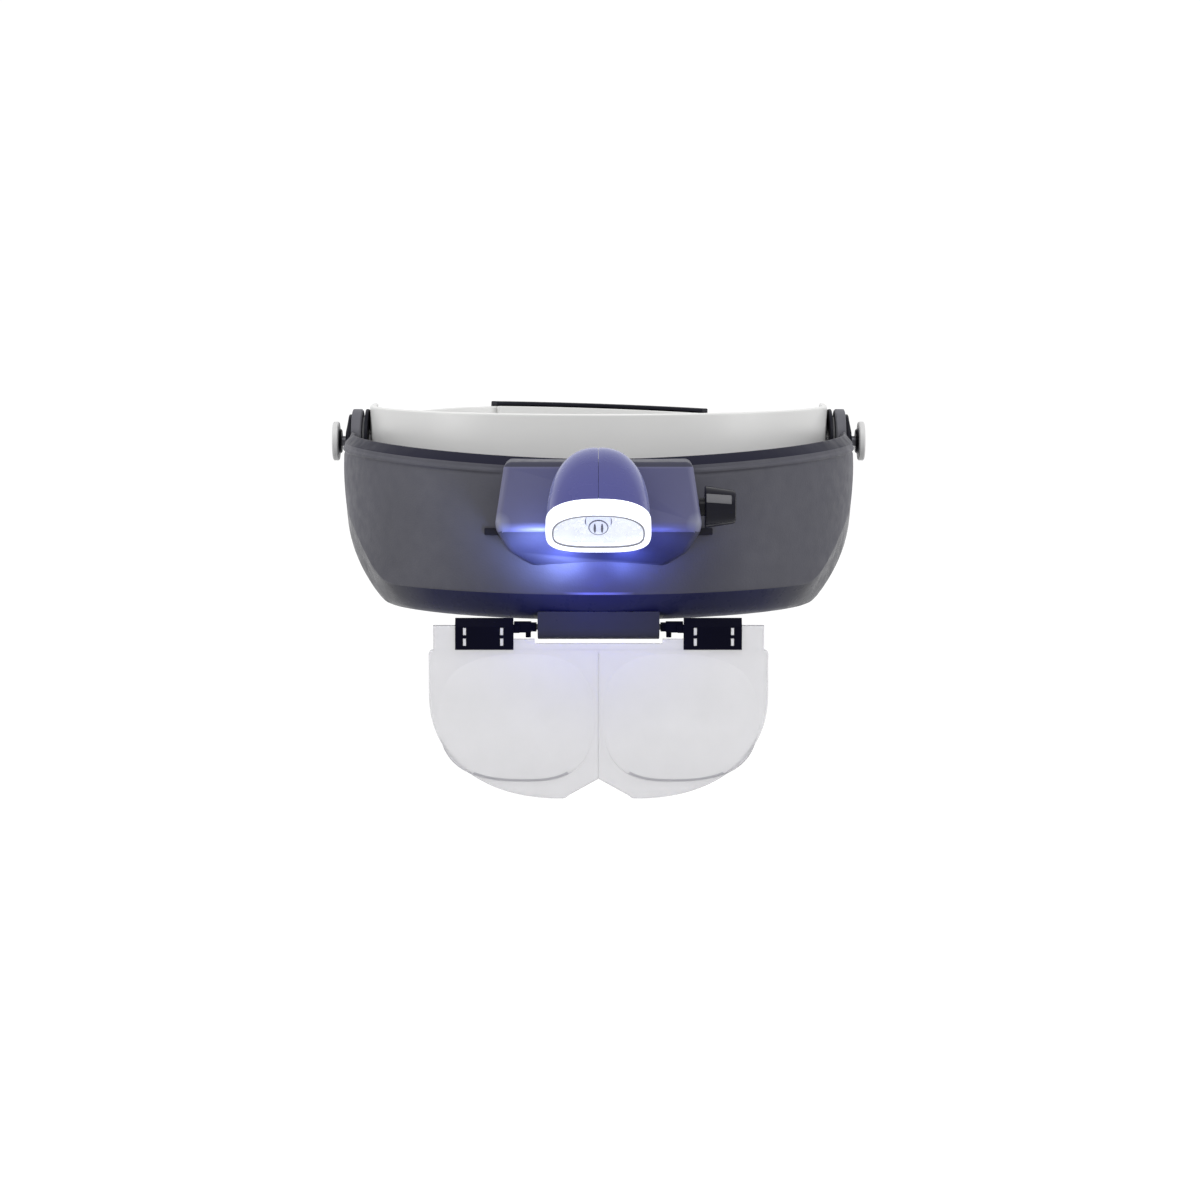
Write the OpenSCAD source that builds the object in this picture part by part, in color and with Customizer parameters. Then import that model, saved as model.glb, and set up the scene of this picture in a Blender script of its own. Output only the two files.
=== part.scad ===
// Headband magnifier: a white head strap with a ratchet behind, a grey visor that
// tilts on two thumb screws, a lamp on a battery box, and a flip-down lens plate.
// Origin: centre of the head opening, at the height of the visor's pivot axis.
// +X is the wearer's left, -Y is forward, +Z is up.

/* [Headband] */
// Inner radius of the pad at the temples
head_r = 78.6; // [74:0.2:84]
// Straight length between the front and rear half circles
head_straight = 34; // [24:1:44]
// Thickness of the sweat pad
pad_t = 5; // [3:0.5:7]
// Height of the sweat pad
pad_h = 22; // [16:1:24]
// Angle that the sweat pad covers
pad_arc = 156; // [120:2:170]
// Thickness of the band and its straps
band_t = 2; // [1.6:0.1:2.6]
// Height of the band across the forehead
band_h = 27; // [25:1:32]
// Top of the rear straps above the pivot axis
strap_top = 7; // [5:0.5:8]
// Height of each rear strap
strap_h = 19; // [17:0.5:20]

/* [Pivots] */
// Pivot axis ahead of the origin
pivot_fwd = 24; // [20:1:28]
// Radius of the visor's ear
ear_r = 12; // [11:0.5:13]
// Thickness of the visor's ear
ear_t = 3.8; // [3:0.1:4.5]
// Plate thickness of the pivot bracket
prong_t = 1.2; // [1:0.1:1.8]
// Radius of the bracket's outer plate
prong_r = 10; // [9:0.5:11]
// Height of the cone pressed into the outer plate
cone_t = 1.2; // [0.8:0.1:1.6]
// Length of the bracket behind the pivot
bracket_back = 22; // [18:1:26]
// Thickness of the washer between bracket and ear
washer_t = 0.9; // [0.6:0.1:1.2]
// Diameter of the pivot screw
screw_d = 3.8; // [3:0.1:4.4]
// Free length of the screw outside the bracket
stem_len = 1.6; // [1:0.2:4]
// Diameter of the screw's flange
flange_d = 10; // [8:0.5:12]
// Diameter of the thumb knob
knob_d = 14.6; // [12:0.2:18]
// Thickness of the thumb knob
knob_t = 2.3; // [2:0.1:4]
// Width across the flats of the captive nut
nut_af = 7; // [6:0.5:8]

/* [Visor] */
// Reach of the visor's front ahead of the pivot axis
visor_reach = 124; // [116:1:132]
// Depth of the visor's bottom edge below the pivot axis
visor_drop = 54.5; // [48:0.5:60]
// Wall thickness
visor_wall = 2.2; // [1.8:0.1:2.8]
// Height of the top rim at the sides
rim_side = 4.8; // [3:0.2:6]
// Height of the top rim at the middle of the front
rim_front = 0.6; // [0:0.2:3]
// Depth of the sloping lip along the top rim
lip_d = 3; // [2:0.2:4]
// Height of that lip
lip_h = 3; // [2:0.2:4]
// Outward swell of the wall between rim and crease
wall_bulge = 0.5; // [0:0.1:1]
// Height of the rounded bevel along the bottom
bevel_h = 10; // [6:0.5:12]
// Inward run of that bevel
bevel_d = 11; // [8:0.5:13]
// Run over which the lower edge rises to the ear
cheek_len = 69; // [64:1:84]
// Share of the wall's height that the bevel takes at the cheeks
cheek_share = 0.42; // [0.2:0.02:0.5]

/* [Battery box] */
// Width of the box at its top
box_top_w = 61.6; // [58:0.2:66]
// Width of the box at its widest
box_w = 68; // [66:0.5:74]
// Height of the front face
box_face_h = 21.5; // [20:0.5:24]
// Height of the sloping chin below the face
box_chin_h = 14.5; // [12:0.5:18]
// Forward lean of the front face
box_lean = 5; // [3:0.5:7]
// Wall thickness of the box
box_wall = 1.6; // [1.2:0.1:2]
// Corner radius of the box
box_round = 2; // [1.5:0.5:4]
// Diameter of a cell
cell_d = 10.5; // [10:0.1:11]
// Length of a cell
cell_len = 44.5; // [43:0.5:46]
// Thickness of the tray behind the cells
tray_t = 1.2; // [1:0.1:1.5]

/* [Switch] */
// Diameter of the switch knob where it meets the box
switch_d = 14; // [12:0.5:15]
// Diameter at its outer end
switch_end_d = 10.7; // [9:0.1:12]
// Length of the switch knob
switch_len = 10.3; // [8:0.1:12]
// Height of the switch axis below the pivot axis
switch_drop = 14.8; // [13:0.2:16]

/* [Lamp] */
// Width of the lamp
lamp_w = 33; // [30:0.5:36]
// Height of the lamp above its own axis
lamp_top = 10; // [9:0.5:11]
// Height of the lamp below its own axis
lamp_bottom = 8; // [6:0.2:9]
// Length of the domed shell
dome_len = 32; // [30:0.5:35]
// Length of the translucent bezel
bezel_len = 6.2; // [5:0.2:8]
// Wall of the bezel ring
bezel_wall = 1.6; // [1.2:0.1:2.4]
// Wall of the lamp shell
lamp_wall = 1.5; // [1.2:0.1:2]
// Dip of the lamp's axis below the horizontal
lamp_dip = 40; // [36:1:44]
// Lamp hinge ahead of the box's top edge
lamp_hinge_fwd = 6; // [5:0.5:8]
// Lamp hinge below the pivot axis
lamp_hinge_drop = 3; // [2:0.5:5]
// Distance from the lamp hinge to the bezel, along the lamp's axis
lamp_hinge_back = 23.8; // [22:0.2:25]
// Lamp hinge below the lamp's axis
lamp_hinge_low = 1.7; // [1:0.1:2.5]
// Diameter of the lamp's hinge pin
lamp_pin_d = 2.4; // [2:0.1:3]
// Diameter of the light emitting diode
led_d = 8; // [5:0.5:8]

/* [Lens plate] */
// Width of the lens plate
lens_w = 114.6; // [108:0.2:122]
// Straight height of the plate's sides
lens_side_h = 14.8; // [12:0.2:20]
// Height of the rounded outer corner
lens_corner_h = 36; // [30:0.5:40]
// Width of the nose notch between the two lowest points
nose_w = 24.4; // [20:0.2:30]
// Height of the nose notch
nose_rise = 6.8; // [5:0.2:12]
// Thickness at the middle of each lens
lens_t = 5; // [4:0.2:6]
// Radius of each lens surface
lens_curve_r = 220; // [180:5:300]
// Width of the clear flange above the lenses
lens_flange_w = 111.4; // [105:0.2:120]
// Thickness of that flange
lens_flange_t = 2; // [1.6:0.1:2.6]
// Flange top above the hinge axis
lens_flange_up = 0.7; // [0.5:0.1:1.4]
// Lens top below the hinge axis
lens_top_drop = 7.6; // [7:0.2:10]
// Width of the hinge block under the visor
block_w = 41; // [36:0.5:46]
// Depth of the hinge axis below the visor's bottom edge
lens_axis_drop = 2.1; // [2:0.1:3]
// Diameter of the lens hinge axle
axle_d = 2; // [1.6:0.1:2.4]
// Inner edge of each lens bracket from the middle
lens_bracket_in = 28.6; // [26:0.2:32]
// Width of each lens bracket
lens_bracket_w = 19.6; // [16:0.2:22]
// Plate thickness of the lens bracket
lens_bracket_t = 1.6; // [1.2:0.1:2]

/* [Rear adjuster] */
// Width of the adjuster housing
rear_w = 90; // [80:1:100]
// Roll of the adjuster about the front-to-back axis
rear_roll = 2; // [0:0.5:3]
// Wall of the housing's top and bottom
rear_wall = 1.5; // [0.8:0.1:2]
// Thickness of the housing's back
rear_back_t = 2; // [1.6:0.1:2.6]
// Thickness of the white liner
liner_t = 1.8; // [1.4:0.1:2.2]
// Diameter of the ratchet knob
ratchet_d = 24; // [20:1:26]
// Axis of the ratchet knob below the pivot axis
ratchet_drop = 5; // [4:0.5:6]
// Depth of the ratchet knob
ratchet_t = 11; // [8:0.5:14]
// Gear module of the pinion
gear_module = 1; // [0.9:0.05:1.1]
// Diameter of the pinion's shaft
shaft_d = 8; // [6:0.5:9]

/* [Hidden] */
$fn = 48;
big_fn = 144;
eps = 0.01;

// Clearances
soft_gap = 0.3;
run_gap = 0.06;
face_gap = 0.2;
seat_gap = 0.1;

// Headband, from the head outwards
half_straight = head_straight / 2;
strap_low = strap_top - strap_h;
pad_crown = 0.9;
pad_round = 1.4;
band_in = head_r + pad_t + soft_gap;
band_out = band_in + band_t;
pivot_y = -pivot_fwd;
screw_r = screw_d / 2;

// Stack of the pivots along X, from the band outwards
prong_in = band_out;
prong_in_face = prong_in + prong_t;
ear_in = prong_in_face + washer_t + face_gap;
ear_out = ear_in + ear_t;
prong_out = ear_out + face_gap;
prong_out_face = prong_out + prong_t;
cone_face = prong_out_face + cone_t;
flange_in = cone_face + stem_len;
flange_t = 1;
knob_in = flange_in + flange_t;
nut_in = band_in + seat_gap;
cone_top_r = 4;
web_t = 2;
web_gap = 1.5;
rivet_r = 1.2;
rivet_head_r = 2.2;
rivet_head_t = 0.8;
rivet_pitch = 10;

// Visor: straight sides that run into a half circle in front
ear_proud = 0.1;
visor_r = ear_out - ear_proud;
visor_front_y = pivot_y - visor_reach;
visor_cy = visor_front_y + visor_r;
edge_start = ear_r - 1;
edge_power = 1.5;
edge_blend = 2;
bevel_power = 3.6;
share_run = [1.3, 0.93];
rim_power = 1.6;
bevel_least = 0.06;
swell_least = 0.1;
lip_fade = 20;
side_steps = 6;
arc_steps = 36;
wall_steps = 4;
bevel_steps = 4;

// Lens hinge
lens_axis_y = visor_front_y + bevel_d - 2.2;
lens_axis_z = -visor_drop - lens_axis_drop;
axle_r = axle_d / 2;
block_r = 4.1;
block_back = 5.5;
block_above = 3.5;
arm_in = block_w / 2 + 0.4;
arm_step = 1.8;
arm_half = 1.7;
arm_reach = 2.2;
bridge_w = 2;
bridge_fwd = 3.35;
bridge_up = 1;
nub_r = 0.9;
nub_drop = 1.8;
notch_gap = 0.4;
bracket_down = 7.3;
bracket_up = 3.4;
bracket_slope = 2.8;
peg_w = 1.1;
peg_h = 2.6;
peg_x = [3.4, 15.9];
peg_drop = [1.1, 4.7];
flange_y0 = lens_axis_y - 0.5 - lens_flange_t;
bracket_y1 = flange_y0 - seat_gap / 2;
bracket_y0 = bracket_y1 - lens_bracket_t;
lens_front_y = lens_axis_y + 0.5 - lens_t;
lens_top_z = lens_axis_z - lens_top_drop;
lens_corner_power = 2.2;

// Battery box
tray_r = visor_r + wall_bulge + 0.15;
cell_y = visor_cy - tray_r - tray_t - soft_gap - cell_d / 2;
box_top_z = rim_front - seat_gap;
box_top_y = cell_y - cell_d / 2 - box_wall - 0.6;
cell_z = [box_top_z - box_wall - cell_d / 2 - 0.9, box_top_z - box_wall - cell_d * 1.5 - 1.5];
spring_len = 3.7;
plate_t = 0.5;
plate_x0 = (cell_len + spring_len) / 2;
tray_end_t = 1.6;
tray_half = plate_x0 + plate_t + tray_end_t;
chin_in = [box_w * 0.06, box_w * 0.176];
chin_turn = 0.6;
tab_out = box_w / 2 + 4.3;
tab_z = -box_face_h - 3.8;
tab_h = 2.4;
tab_lap = 0.6;
tray_low = min(cell_z[1] - cell_d / 2, tab_z + tab_h - tab_lap);
box_screw_x = 24;
box_screw_z = -box_face_h - 8.5;
box_screw_r = 1.2;
box_boss_r = 3;
box_screw_len = 9;
box_screw_head = -visor_cy + sqrt(pow(visor_r - visor_wall, 2) - pow(box_screw_x, 2)) - 1.2;
box_screw_end = box_screw_head + box_screw_len;

// Switch
switch_z = -switch_drop;
switch_x = box_w / 2 + 1;
switch_hub_r = 3;
inlay_w = 3.3;
inlay_t = 1;
inlay_angle = 30;
switch_tip = 0.8;

// Lamp
lamp_hinge_y = box_top_y - lamp_hinge_fwd;
lamp_hinge_z = -lamp_hinge_drop;
stalk_w = 6.8;
stalk_r = 3;
dome_power = 2.3;
arch_power = 2.4;
floor_power = 3.2;
dome_steps = 10;
section_points = 32;
half_points = 12;
hollow_len = 20;
boss_out = 9;
seam = 0.12;
lamp_clear = 0.7;
lamp_up_deg = 10;
lamp_down_deg = 20;
led_r = led_d / 2;
led_z = -0.3;
led_body = 5.1;
led_wall_gap = 0.3;

// Side of the arm that carries the lamp, from its hinge into the box
stalk_outline = [
    [lamp_hinge_y, lamp_hinge_z - stalk_r], [box_top_y + 2, lamp_hinge_z - stalk_r - 1.8],
    [box_top_y + 2, lamp_hinge_z - 0.2], [lamp_hinge_y, lamp_hinge_z + stalk_r]
];

// Rear adjuster, measured from the centre of the rear half circle
liner_in = band_in - 0.7 - liner_t;
cavity_in = band_in - 0.6;
cavity_out = band_out + 0.7;
rear_out = cavity_out + rear_back_t;
cavity_top = strap_top + 0.4;
cavity_low = strap_low - 0.4;
rear_angle = asin(rear_w / 2 / rear_out);
strap_in_angle = 4;
rack_t = 1.6;
rack_mid_r = (band_in + band_out) / 2;
rack_start = rear_angle - strap_in_angle - 0.07;
rack_reach = 8;
rack_edge = 7;
rear_screw_angle = 14;
rear_screw_r = 1;
rear_through = (rear_out - liner_in) * 2;
gear_teeth = 8;
pitch_r = gear_module * gear_teeth / 2;
tooth_pitch = PI * gear_module;
tip_h = 0.75 * gear_module;
root_h = 1.05 * gear_module;
tooth_half = 0.56 * gear_module;
tooth_slope = 0.3;
rack_angle_pitch = tooth_pitch / rack_mid_r * 180 / PI;
rack_teeth = 7;
shaft_r = shaft_d / 2;
hub_r = shaft_r + 4;
hub_len = 2.4;
ratchet_screw_r = 1.4;
hub_y = half_straight + rear_out + hub_len;
knob_gap = 0.6;
knob_y = hub_y + knob_gap;
grip_count = 18;

// Helpers

function mix(a, b, k) = a + (b - a) * k;
function clamp01(k) = min(1, max(0, k));
function smooth_max(a, b, k) = (a + b + sqrt((a - b) * (a - b) + k * k)) / 2;
function signed_power(v, p) = sign(v) * pow(abs(v), p);

// Polygon points with every corner rounded by an arc of radius r
function rounded(points, r, steps = 5) = [
    for (i = [0:len(points) - 1])
        let (
            here = points[i],
            before = points[(i + len(points) - 1) % len(points)],
            after = points[(i + 1) % len(points)],
            a = (before - here) / norm(before - here),
            b = (after - here) / norm(after - here),
            half = acos(a * b) / 2,
            turn = 180 - 2 * half,
            centre = here + (a + b) / norm(a + b) * r / sin(half),
            from = here + a * r / tan(half) - centre,
            way = sign(a[0] * b[1] - a[1] * b[0])
        )
        for (k = [0:steps])
            let (t = -way * turn * k / steps)
            centre + [from[0] * cos(t) - from[1] * sin(t), from[0] * sin(t) + from[1] * cos(t)]
];

// Closed solid through a row of rings that have the same number of points
module skin(rings) {
    n = len(rings);
    m = len(rings[0]);
    sides = [
        for (i = [0:n - 2])
            for (j = [0:m - 1])
                let (a = i * m + j, b = i * m + (j + 1) % m)
                each [[a, b, b + m], [a, b + m, a + m]]
    ];
    first = [for (j = [m - 1:-1:0]) j];
    last = [for (j = [0:m - 1]) (n - 1) * m + j];
    polyhedron(points = [for (r = rings) each r], faces = concat([first], sides, [last]), convexity = 8);
}

// The mirror image for the -X side
module on_side(side) {
    mirror([side > 0 ? 0 : 1, 0, 0]) children();
}

// Cylinder along +X from x0 to x1
module rod_x(x0, x1, r, r_end = undef) {
    translate([x0, 0, 0]) rotate([0, 90, 0]) cylinder(h = x1 - x0, r1 = r, r2 = is_undef(r_end) ? r : r_end);
}

// Outline in Y and Z, extruded along +X from x0 to x1
module plate_x(x0, x1, points) {
    translate([x0, 0, 0]) rotate([90, 0, 90]) linear_extrude(x1 - x0) polygon(points);
}

// Outline in X and Z, extruded along +Y from y0 to y1
module plate_y(y0, y1, points) {
    translate([0, y1, 0]) rotate([90, 0, 0]) linear_extrude(y1 - y0) polygon(points);
}

// Part of a ring about Z, centred on the +Y direction
module arc_wall(r0, r1, z0, z1, from_deg, to_deg) {
    rotate([0, 0, 90 - to_deg]) rotate_extrude(angle = to_deg - from_deg, $fn = big_fn)
        translate([r0, z0]) square([r1 - r0, z1 - z0]);
}

module at_pivot() {
    translate([0, pivot_y, 0]) children();
}

module at_rear() {
    rotate([0, rear_roll, 0]) translate([0, half_straight, 0]) children();
}

module at_lamp() {
    translate([0, lamp_hinge_y, lamp_hinge_z]) rotate([90 + lamp_dip, 0, 0])
        translate([0, lamp_hinge_low, lamp_hinge_back]) children();
}

// Headband

module forehead_band() color("whitesmoke") difference() {
    half = band_h / 2;
    union() {
        translate([0, -half_straight, 0]) rotate([0, 0, 180])
            arc_wall(band_in, band_out, -half, half, -90, 90);
        for (side = [-1, 1]) on_side(side)
            plate_x(band_in, band_out, [
                [-half_straight, -half], [-half - strap_low, -half], [0, strap_low],
                [0, strap_top], [strap_top - half, half], [-half_straight, half]
            ]);
    }
    for (side = [-1, 1]) on_side(side) at_pivot()
        rod_x(band_in - 4, band_out + 1, nut_af / 2 + 1);
    for (side = [-1, 1], z = [-1, 1]) on_side(side)
        translate([0, pivot_y + bracket_back - 4, z * rivet_pitch / 2])
            rod_x(band_in - 1, band_out + 1, rivet_r);
}

// Flat towards the band and crowned towards the head
module sweat_pad() color("dimgray") {
    back_r = head_r + pad_t;
    half = pad_h / 2;
    section = rounded([
        [back_r, -half], [back_r, half], [head_r + pad_crown, half], [head_r, half / 2],
        [head_r, -half / 2], [head_r + pad_crown, -half]
    ], pad_round);
    translate([0, -half_straight, 0]) rotate([0, 0, -90 - pad_arc / 2])
        rotate_extrude(angle = pad_arc, $fn = big_fn) polygon(section);
}

// Ring of a strap: a is the angle round the rear half circle, from 0 at the side
function strap_ring(x, y, nx, ny, drop) = [
    for (c = [[-1, -1], [1, -1], [1, 1], [-1, 1]])
        [x + nx * c[0] * band_t / 2, y + ny * c[0] * band_t / 2, (c[1] > 0 ? strap_top : strap_low) - drop]
];

// side 1 is +X, and the strap takes up the rear roll along its way
function strap_rings(side) = let (
    mid = (band_in + band_out) / 2,
    last = 90 - rear_angle + strap_in_angle,
    steps = 15,
    end_drop = side * mid * cos(last) * sin(rear_roll)
) concat(
    [for (k = [0:3]) strap_ring(side * mid, half_straight * k / 4, side, 0, 0)],
    [for (k = [0:steps])
        let (a = last * k / steps)
        strap_ring(side * mid * cos(a), half_straight + mid * sin(a), side * cos(a), sin(a),
            end_drop * (1 - cos(180 * k / steps)) / 2)]
);

module strap(side) color("whitesmoke") {
    rings = strap_rings(side);
    skin(side > 0 ? rings : [for (r = rings) [for (j = [3:-1:0]) r[j]]]);
}

module left_strap() strap(1);

module right_strap() strap(-1);

// Pivots

// U-shaped bracket: inner plate on the band, web behind, outer plate with a cone
module pivot_bracket(side) color("#15151c") on_side(side) at_pivot() difference() {
    web_y = ear_r + web_gap;
    union() {
        rod_x(prong_in, prong_in_face, ear_r);
        plate_x(prong_in, prong_in_face, [
            [-ear_r, 0], [0, -ear_r + 1], [bracket_back, -ear_r + 2], [bracket_back, ear_r - 2], [0, ear_r]
        ]);
        plate_x(prong_in_face - eps, prong_out + eps, [
            [web_y, -ear_r + 3], [web_y + web_t, -ear_r + 3], [web_y + web_t, ear_r - 4], [web_y, ear_r - 5]
        ]);
        rod_x(prong_out, prong_out_face, prong_r);
        plate_x(prong_out, prong_out_face, [
            [0, -prong_r + 1], [web_y + web_t, -ear_r + 3], [web_y + web_t, ear_r - 4], [0, prong_r]
        ]);
        rod_x(prong_out_face - eps, cone_face, prong_r - 0.5, cone_top_r);
    }
    rod_x(prong_in - 1, cone_face + 1, screw_r + run_gap);
    for (z = [-1, 1]) translate([0, bracket_back - 4, z * rivet_pitch / 2])
        rod_x(prong_in - 1, prong_in_face + 1, rivet_r);
}

module left_pivot_bracket() pivot_bracket(1);

module right_pivot_bracket() pivot_bracket(-1);

module bracket_rivets() color("silver")
    for (side = [-1, 1], z = [-1, 1]) on_side(side)
        translate([0, pivot_y + bracket_back - 4, z * rivet_pitch / 2]) {
            rod_x(band_in, prong_in_face, rivet_r);
            rod_x(prong_in_face, prong_in_face + rivet_head_t, rivet_head_r, rivet_head_r - 0.6);
        }

module pivot_washers() color("gray")
    for (side = [-1, 1]) on_side(side) at_pivot() difference() {
        rod_x(prong_in_face, prong_in_face + washer_t, ear_r - 3);
        rod_x(prong_in_face - 1, ear_in, screw_r + run_gap);
    }

module pivot_nuts() color("silver")
    for (side = [-1, 1]) on_side(side) at_pivot() difference() {
        translate([nut_in, 0, 0]) rotate([0, 90, 0])
            cylinder(h = prong_in - nut_in, r = nut_af / 2 / cos(30), $fn = 6);
        rod_x(nut_in - 1, prong_in + 1, screw_r + run_gap);
    }

module thumb_screw(side) color("#3a3a40") on_side(side) at_pivot() {
    rod_x(nut_in, flange_in + eps, screw_r);
    rod_x(flange_in, knob_in, flange_d / 2 - 0.8, flange_d / 2);
}

module left_thumb_screw() thumb_screw(1);

module right_thumb_screw() thumb_screw(-1);

module thumb_knob(side) color("gainsboro") on_side(side) at_pivot() {
    edge = 0.4;
    rod_x(knob_in, knob_in + edge, knob_d / 2 - edge, knob_d / 2);
    rod_x(knob_in + edge, knob_in + knob_t - edge, knob_d / 2);
    rod_x(knob_in + knob_t - edge, knob_in + knob_t, knob_d / 2, knob_d / 2 - edge);
}

module left_thumb_knob() thumb_knob(1);

module right_thumb_knob() thumb_knob(-1);

// Visor

function rim_z(x) = rim_front + (rim_side - rim_front) * pow(abs(x) / visor_r, rim_power);
function edge_run(y) = max(0, (pivot_y - y) / cheek_len);
function edge_z(y) = smooth_max(-visor_drop,
    -edge_start - (visor_drop - edge_start) * pow(edge_run(y), edge_power), edge_blend);
function bevel_k(y) = max(bevel_least, pow(clamp01(edge_run(y)), bevel_power));
function cheek_k(y) = let (k = clamp01((share_run[0] - edge_run(y)) / (share_run[0] - share_run[1])))
    k * k * (3 - 2 * k);
function lip_k(y) = clamp01((pivot_y - ear_r - y) / lip_fade);

// Wall section as [outward offset, height] at a point of the plan outline
function visor_section(x, y) = let (
    top = rim_z(x),
    low = edge_z(y),
    inset = bevel_d * bevel_k(y),
    lip = lip_d * lip_k(y),
    swell = wall_bulge * max(swell_least, lip_k(y)),
    wall_top = top - lip_h,
    crease = low + mix(bevel_h * bevel_k(y), (wall_top - low) * cheek_share, cheek_k(y))
) concat(
    [[-lip, top], [0, wall_top]],
    [for (k = [1:wall_steps - 1]) let (t = k / wall_steps)
        [4 * swell * t * (1 - t), mix(wall_top, crease, t)]],
    [[0, crease]],
    [for (k = [1:bevel_steps]) let (t = k / bevel_steps)
        [-inset * t, crease - (crease - low) * sin(90 * t)]],
    [[-inset - visor_wall, low]],
    [for (k = [bevel_steps - 1:-1:1]) let (t = k / bevel_steps)
        [-inset * t - visor_wall, crease - (crease - low) * sin(90 * t) + visor_wall * 0.3]],
    [[-visor_wall, crease + visor_wall * 0.3], [swell - visor_wall, mix(wall_top, crease, 0.5)]],
    [[-visor_wall, wall_top - visor_wall * 0.4], [-lip - visor_wall * 0.75, top - visor_wall * 0.75]]
);

function visor_ring(x, y, nx, ny) = [for (p = visor_section(x, y)) [x + nx * p[0], y + ny * p[0], p[1]]];

visor_side_ys = [for (k = [0:side_steps - 1]) mix(pivot_y - 3, visor_cy, k / side_steps)];

visor_rings = concat(
    [for (y = visor_side_ys) visor_ring(visor_r, y, 1, 0)],
    [for (k = [0:arc_steps]) let (a = 180 * k / arc_steps)
        visor_ring(visor_r * cos(a), visor_cy - visor_r * sin(a), cos(a), -sin(a))],
    [for (k = [side_steps - 1:-1:0]) visor_ring(-visor_r, visor_side_ys[k], -1, 0)]
);

module visor_shell() color("#66666e") difference() {
    union() {
        skin(visor_rings);
        for (side = [-1, 1]) on_side(side) at_pivot() rod_x(ear_in, ear_out, ear_r);
        translate([0, lens_axis_y, lens_axis_z]) plate_x(-block_w / 2, block_w / 2, concat(
            [[block_back, lens_axis_drop + block_above], [-block_r, lens_axis_drop + block_above]],
            [for (a = [180:15:270]) block_r * [cos(a), sin(a)]],
            [[block_back, -block_r]]
        ));
    }
    for (side = [-1, 1]) on_side(side) at_pivot() rod_x(ear_in - 1, ear_out + 1, screw_r + run_gap);
    translate([0, lens_axis_y, lens_axis_z]) rod_x(-block_w / 2 - 1, block_w / 2 + 1, axle_r + run_gap);
    for (side = [-1, 1])
        translate([side * box_screw_x, visor_cy, box_screw_z]) rotate([90, 0, 0])
            cylinder(h = visor_r + 5, r = box_screw_r + 0.2);
}

// Battery box on the visor's front

// Front and side outlines, drawn in by inset
function box_front_outline(inset) = rounded([
    [-box_top_w / 2 + inset, box_top_z - inset], [box_top_w / 2 - inset, box_top_z - inset],
    [box_w / 2 - inset, box_top_z - box_face_h + inset / 2],
    [box_w / 2 - chin_in[0] - inset, box_top_z - box_face_h - box_chin_h * chin_turn],
    [box_w / 2 - chin_in[1] - inset, box_top_z - box_face_h - box_chin_h + inset],
    [chin_in[1] + inset - box_w / 2, box_top_z - box_face_h - box_chin_h + inset],
    [chin_in[0] + inset - box_w / 2, box_top_z - box_face_h - box_chin_h * chin_turn],
    [-box_w / 2 + inset, box_top_z - box_face_h + inset / 2]
], max(1, box_round - inset));

function box_side_outline(inset) = rounded([
    [visor_cy, box_top_z - inset], [box_top_y + inset, box_top_z - inset],
    [box_top_y - box_lean + inset, box_top_z - box_face_h + inset / 2],
    [visor_front_y + 2 + inset, box_top_z - box_face_h - box_chin_h + inset],
    [visor_cy, box_top_z - box_face_h - box_chin_h + inset]
], max(1, box_round - inset));

module box_form(inset) intersection() {
    plate_y(box_top_y - box_lean - 2, visor_cy, box_front_outline(inset));
    plate_x(-box_w, box_w, box_side_outline(inset));
}

module box_screw_places() {
    for (side = [-1, 1])
        translate([side * box_screw_x, 0, box_screw_z]) rotate([90, 0, 0]) children();
}

module battery_box() color("#6a6a74") difference() {
    union() {
        difference() {
            box_form(0);
            box_form(box_wall);
        }
        intersection() {
            box_form(0);
            box_screw_places() cylinder(h = -box_top_y, r = box_boss_r);
        }
    }
    translate([0, visor_cy, -visor_drop]) cylinder(h = visor_drop * 2, r = visor_r + wall_bulge + seat_gap, $fn = big_fn);
    translate([-tab_out - 1, visor_cy - tray_r - tray_t - seat_gap, tab_z - seat_gap])
        cube([tab_out * 2 + 2, tray_t + 12, tab_h + 2 * seat_gap]);
    box_screw_places() cylinder(h = box_screw_end + 0.6, r = box_screw_r);
    translate([0, cell_y, switch_z]) rod_x(box_w / 2 - 6, box_w / 2 + 1, switch_hub_r + run_gap);
    plate_x(-stalk_w / 2, stalk_w / 2, stalk_outline);
}

module battery_tray() color("#15151c") {
    intersection() {
        translate([0, visor_cy, tab_z]) difference() {
            cylinder(h = cell_z[0] + cell_d / 2 - tab_z, r = tray_r + tray_t, $fn = big_fn);
            translate([0, 0, -1]) cylinder(h = 2 * visor_drop, r = tray_r, $fn = big_fn);
        }
        union() {
            translate([-tray_half, cell_y - cell_d, tray_low])
                cube([2 * tray_half, cell_d * 3, cell_z[0] + cell_d / 2 - tray_low]);
            translate([-tab_out, cell_y - cell_d, tab_z]) cube([2 * tab_out, cell_d * 4, tab_h]);
        }
    }
    end_y0 = cell_y - cell_d / 2 + 1;
    end_y1 = visor_cy - sqrt(tray_r * tray_r - tray_half * tray_half) - tray_t / 2;
    for (side = [-1, 1]) on_side(side)
        translate([tray_half - tray_end_t, end_y0, cell_z[1] - cell_d / 2])
            cube([tray_end_t, end_y1 - end_y0, cell_z[0] - cell_z[1] + cell_d]);
}

// The upper cell points left and the lower one right
module battery_cells() color("#7a8a4a")
    for (k = [0, 1]) on_side(1 - 2 * k) translate([plate_x0, cell_y, cell_z[k]]) {
        rod_x(-cell_len, -1, cell_d / 2);
        rod_x(-1, 0, 2.7);
    }

// Cones in place of the springs behind the flat end of each cell
module contact_springs() color("silver")
    for (k = [0, 1]) on_side(1 - 2 * k) translate([-plate_x0, cell_y, cell_z[k]])
        rod_x(0, spring_len, 3.4, 2);

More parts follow.
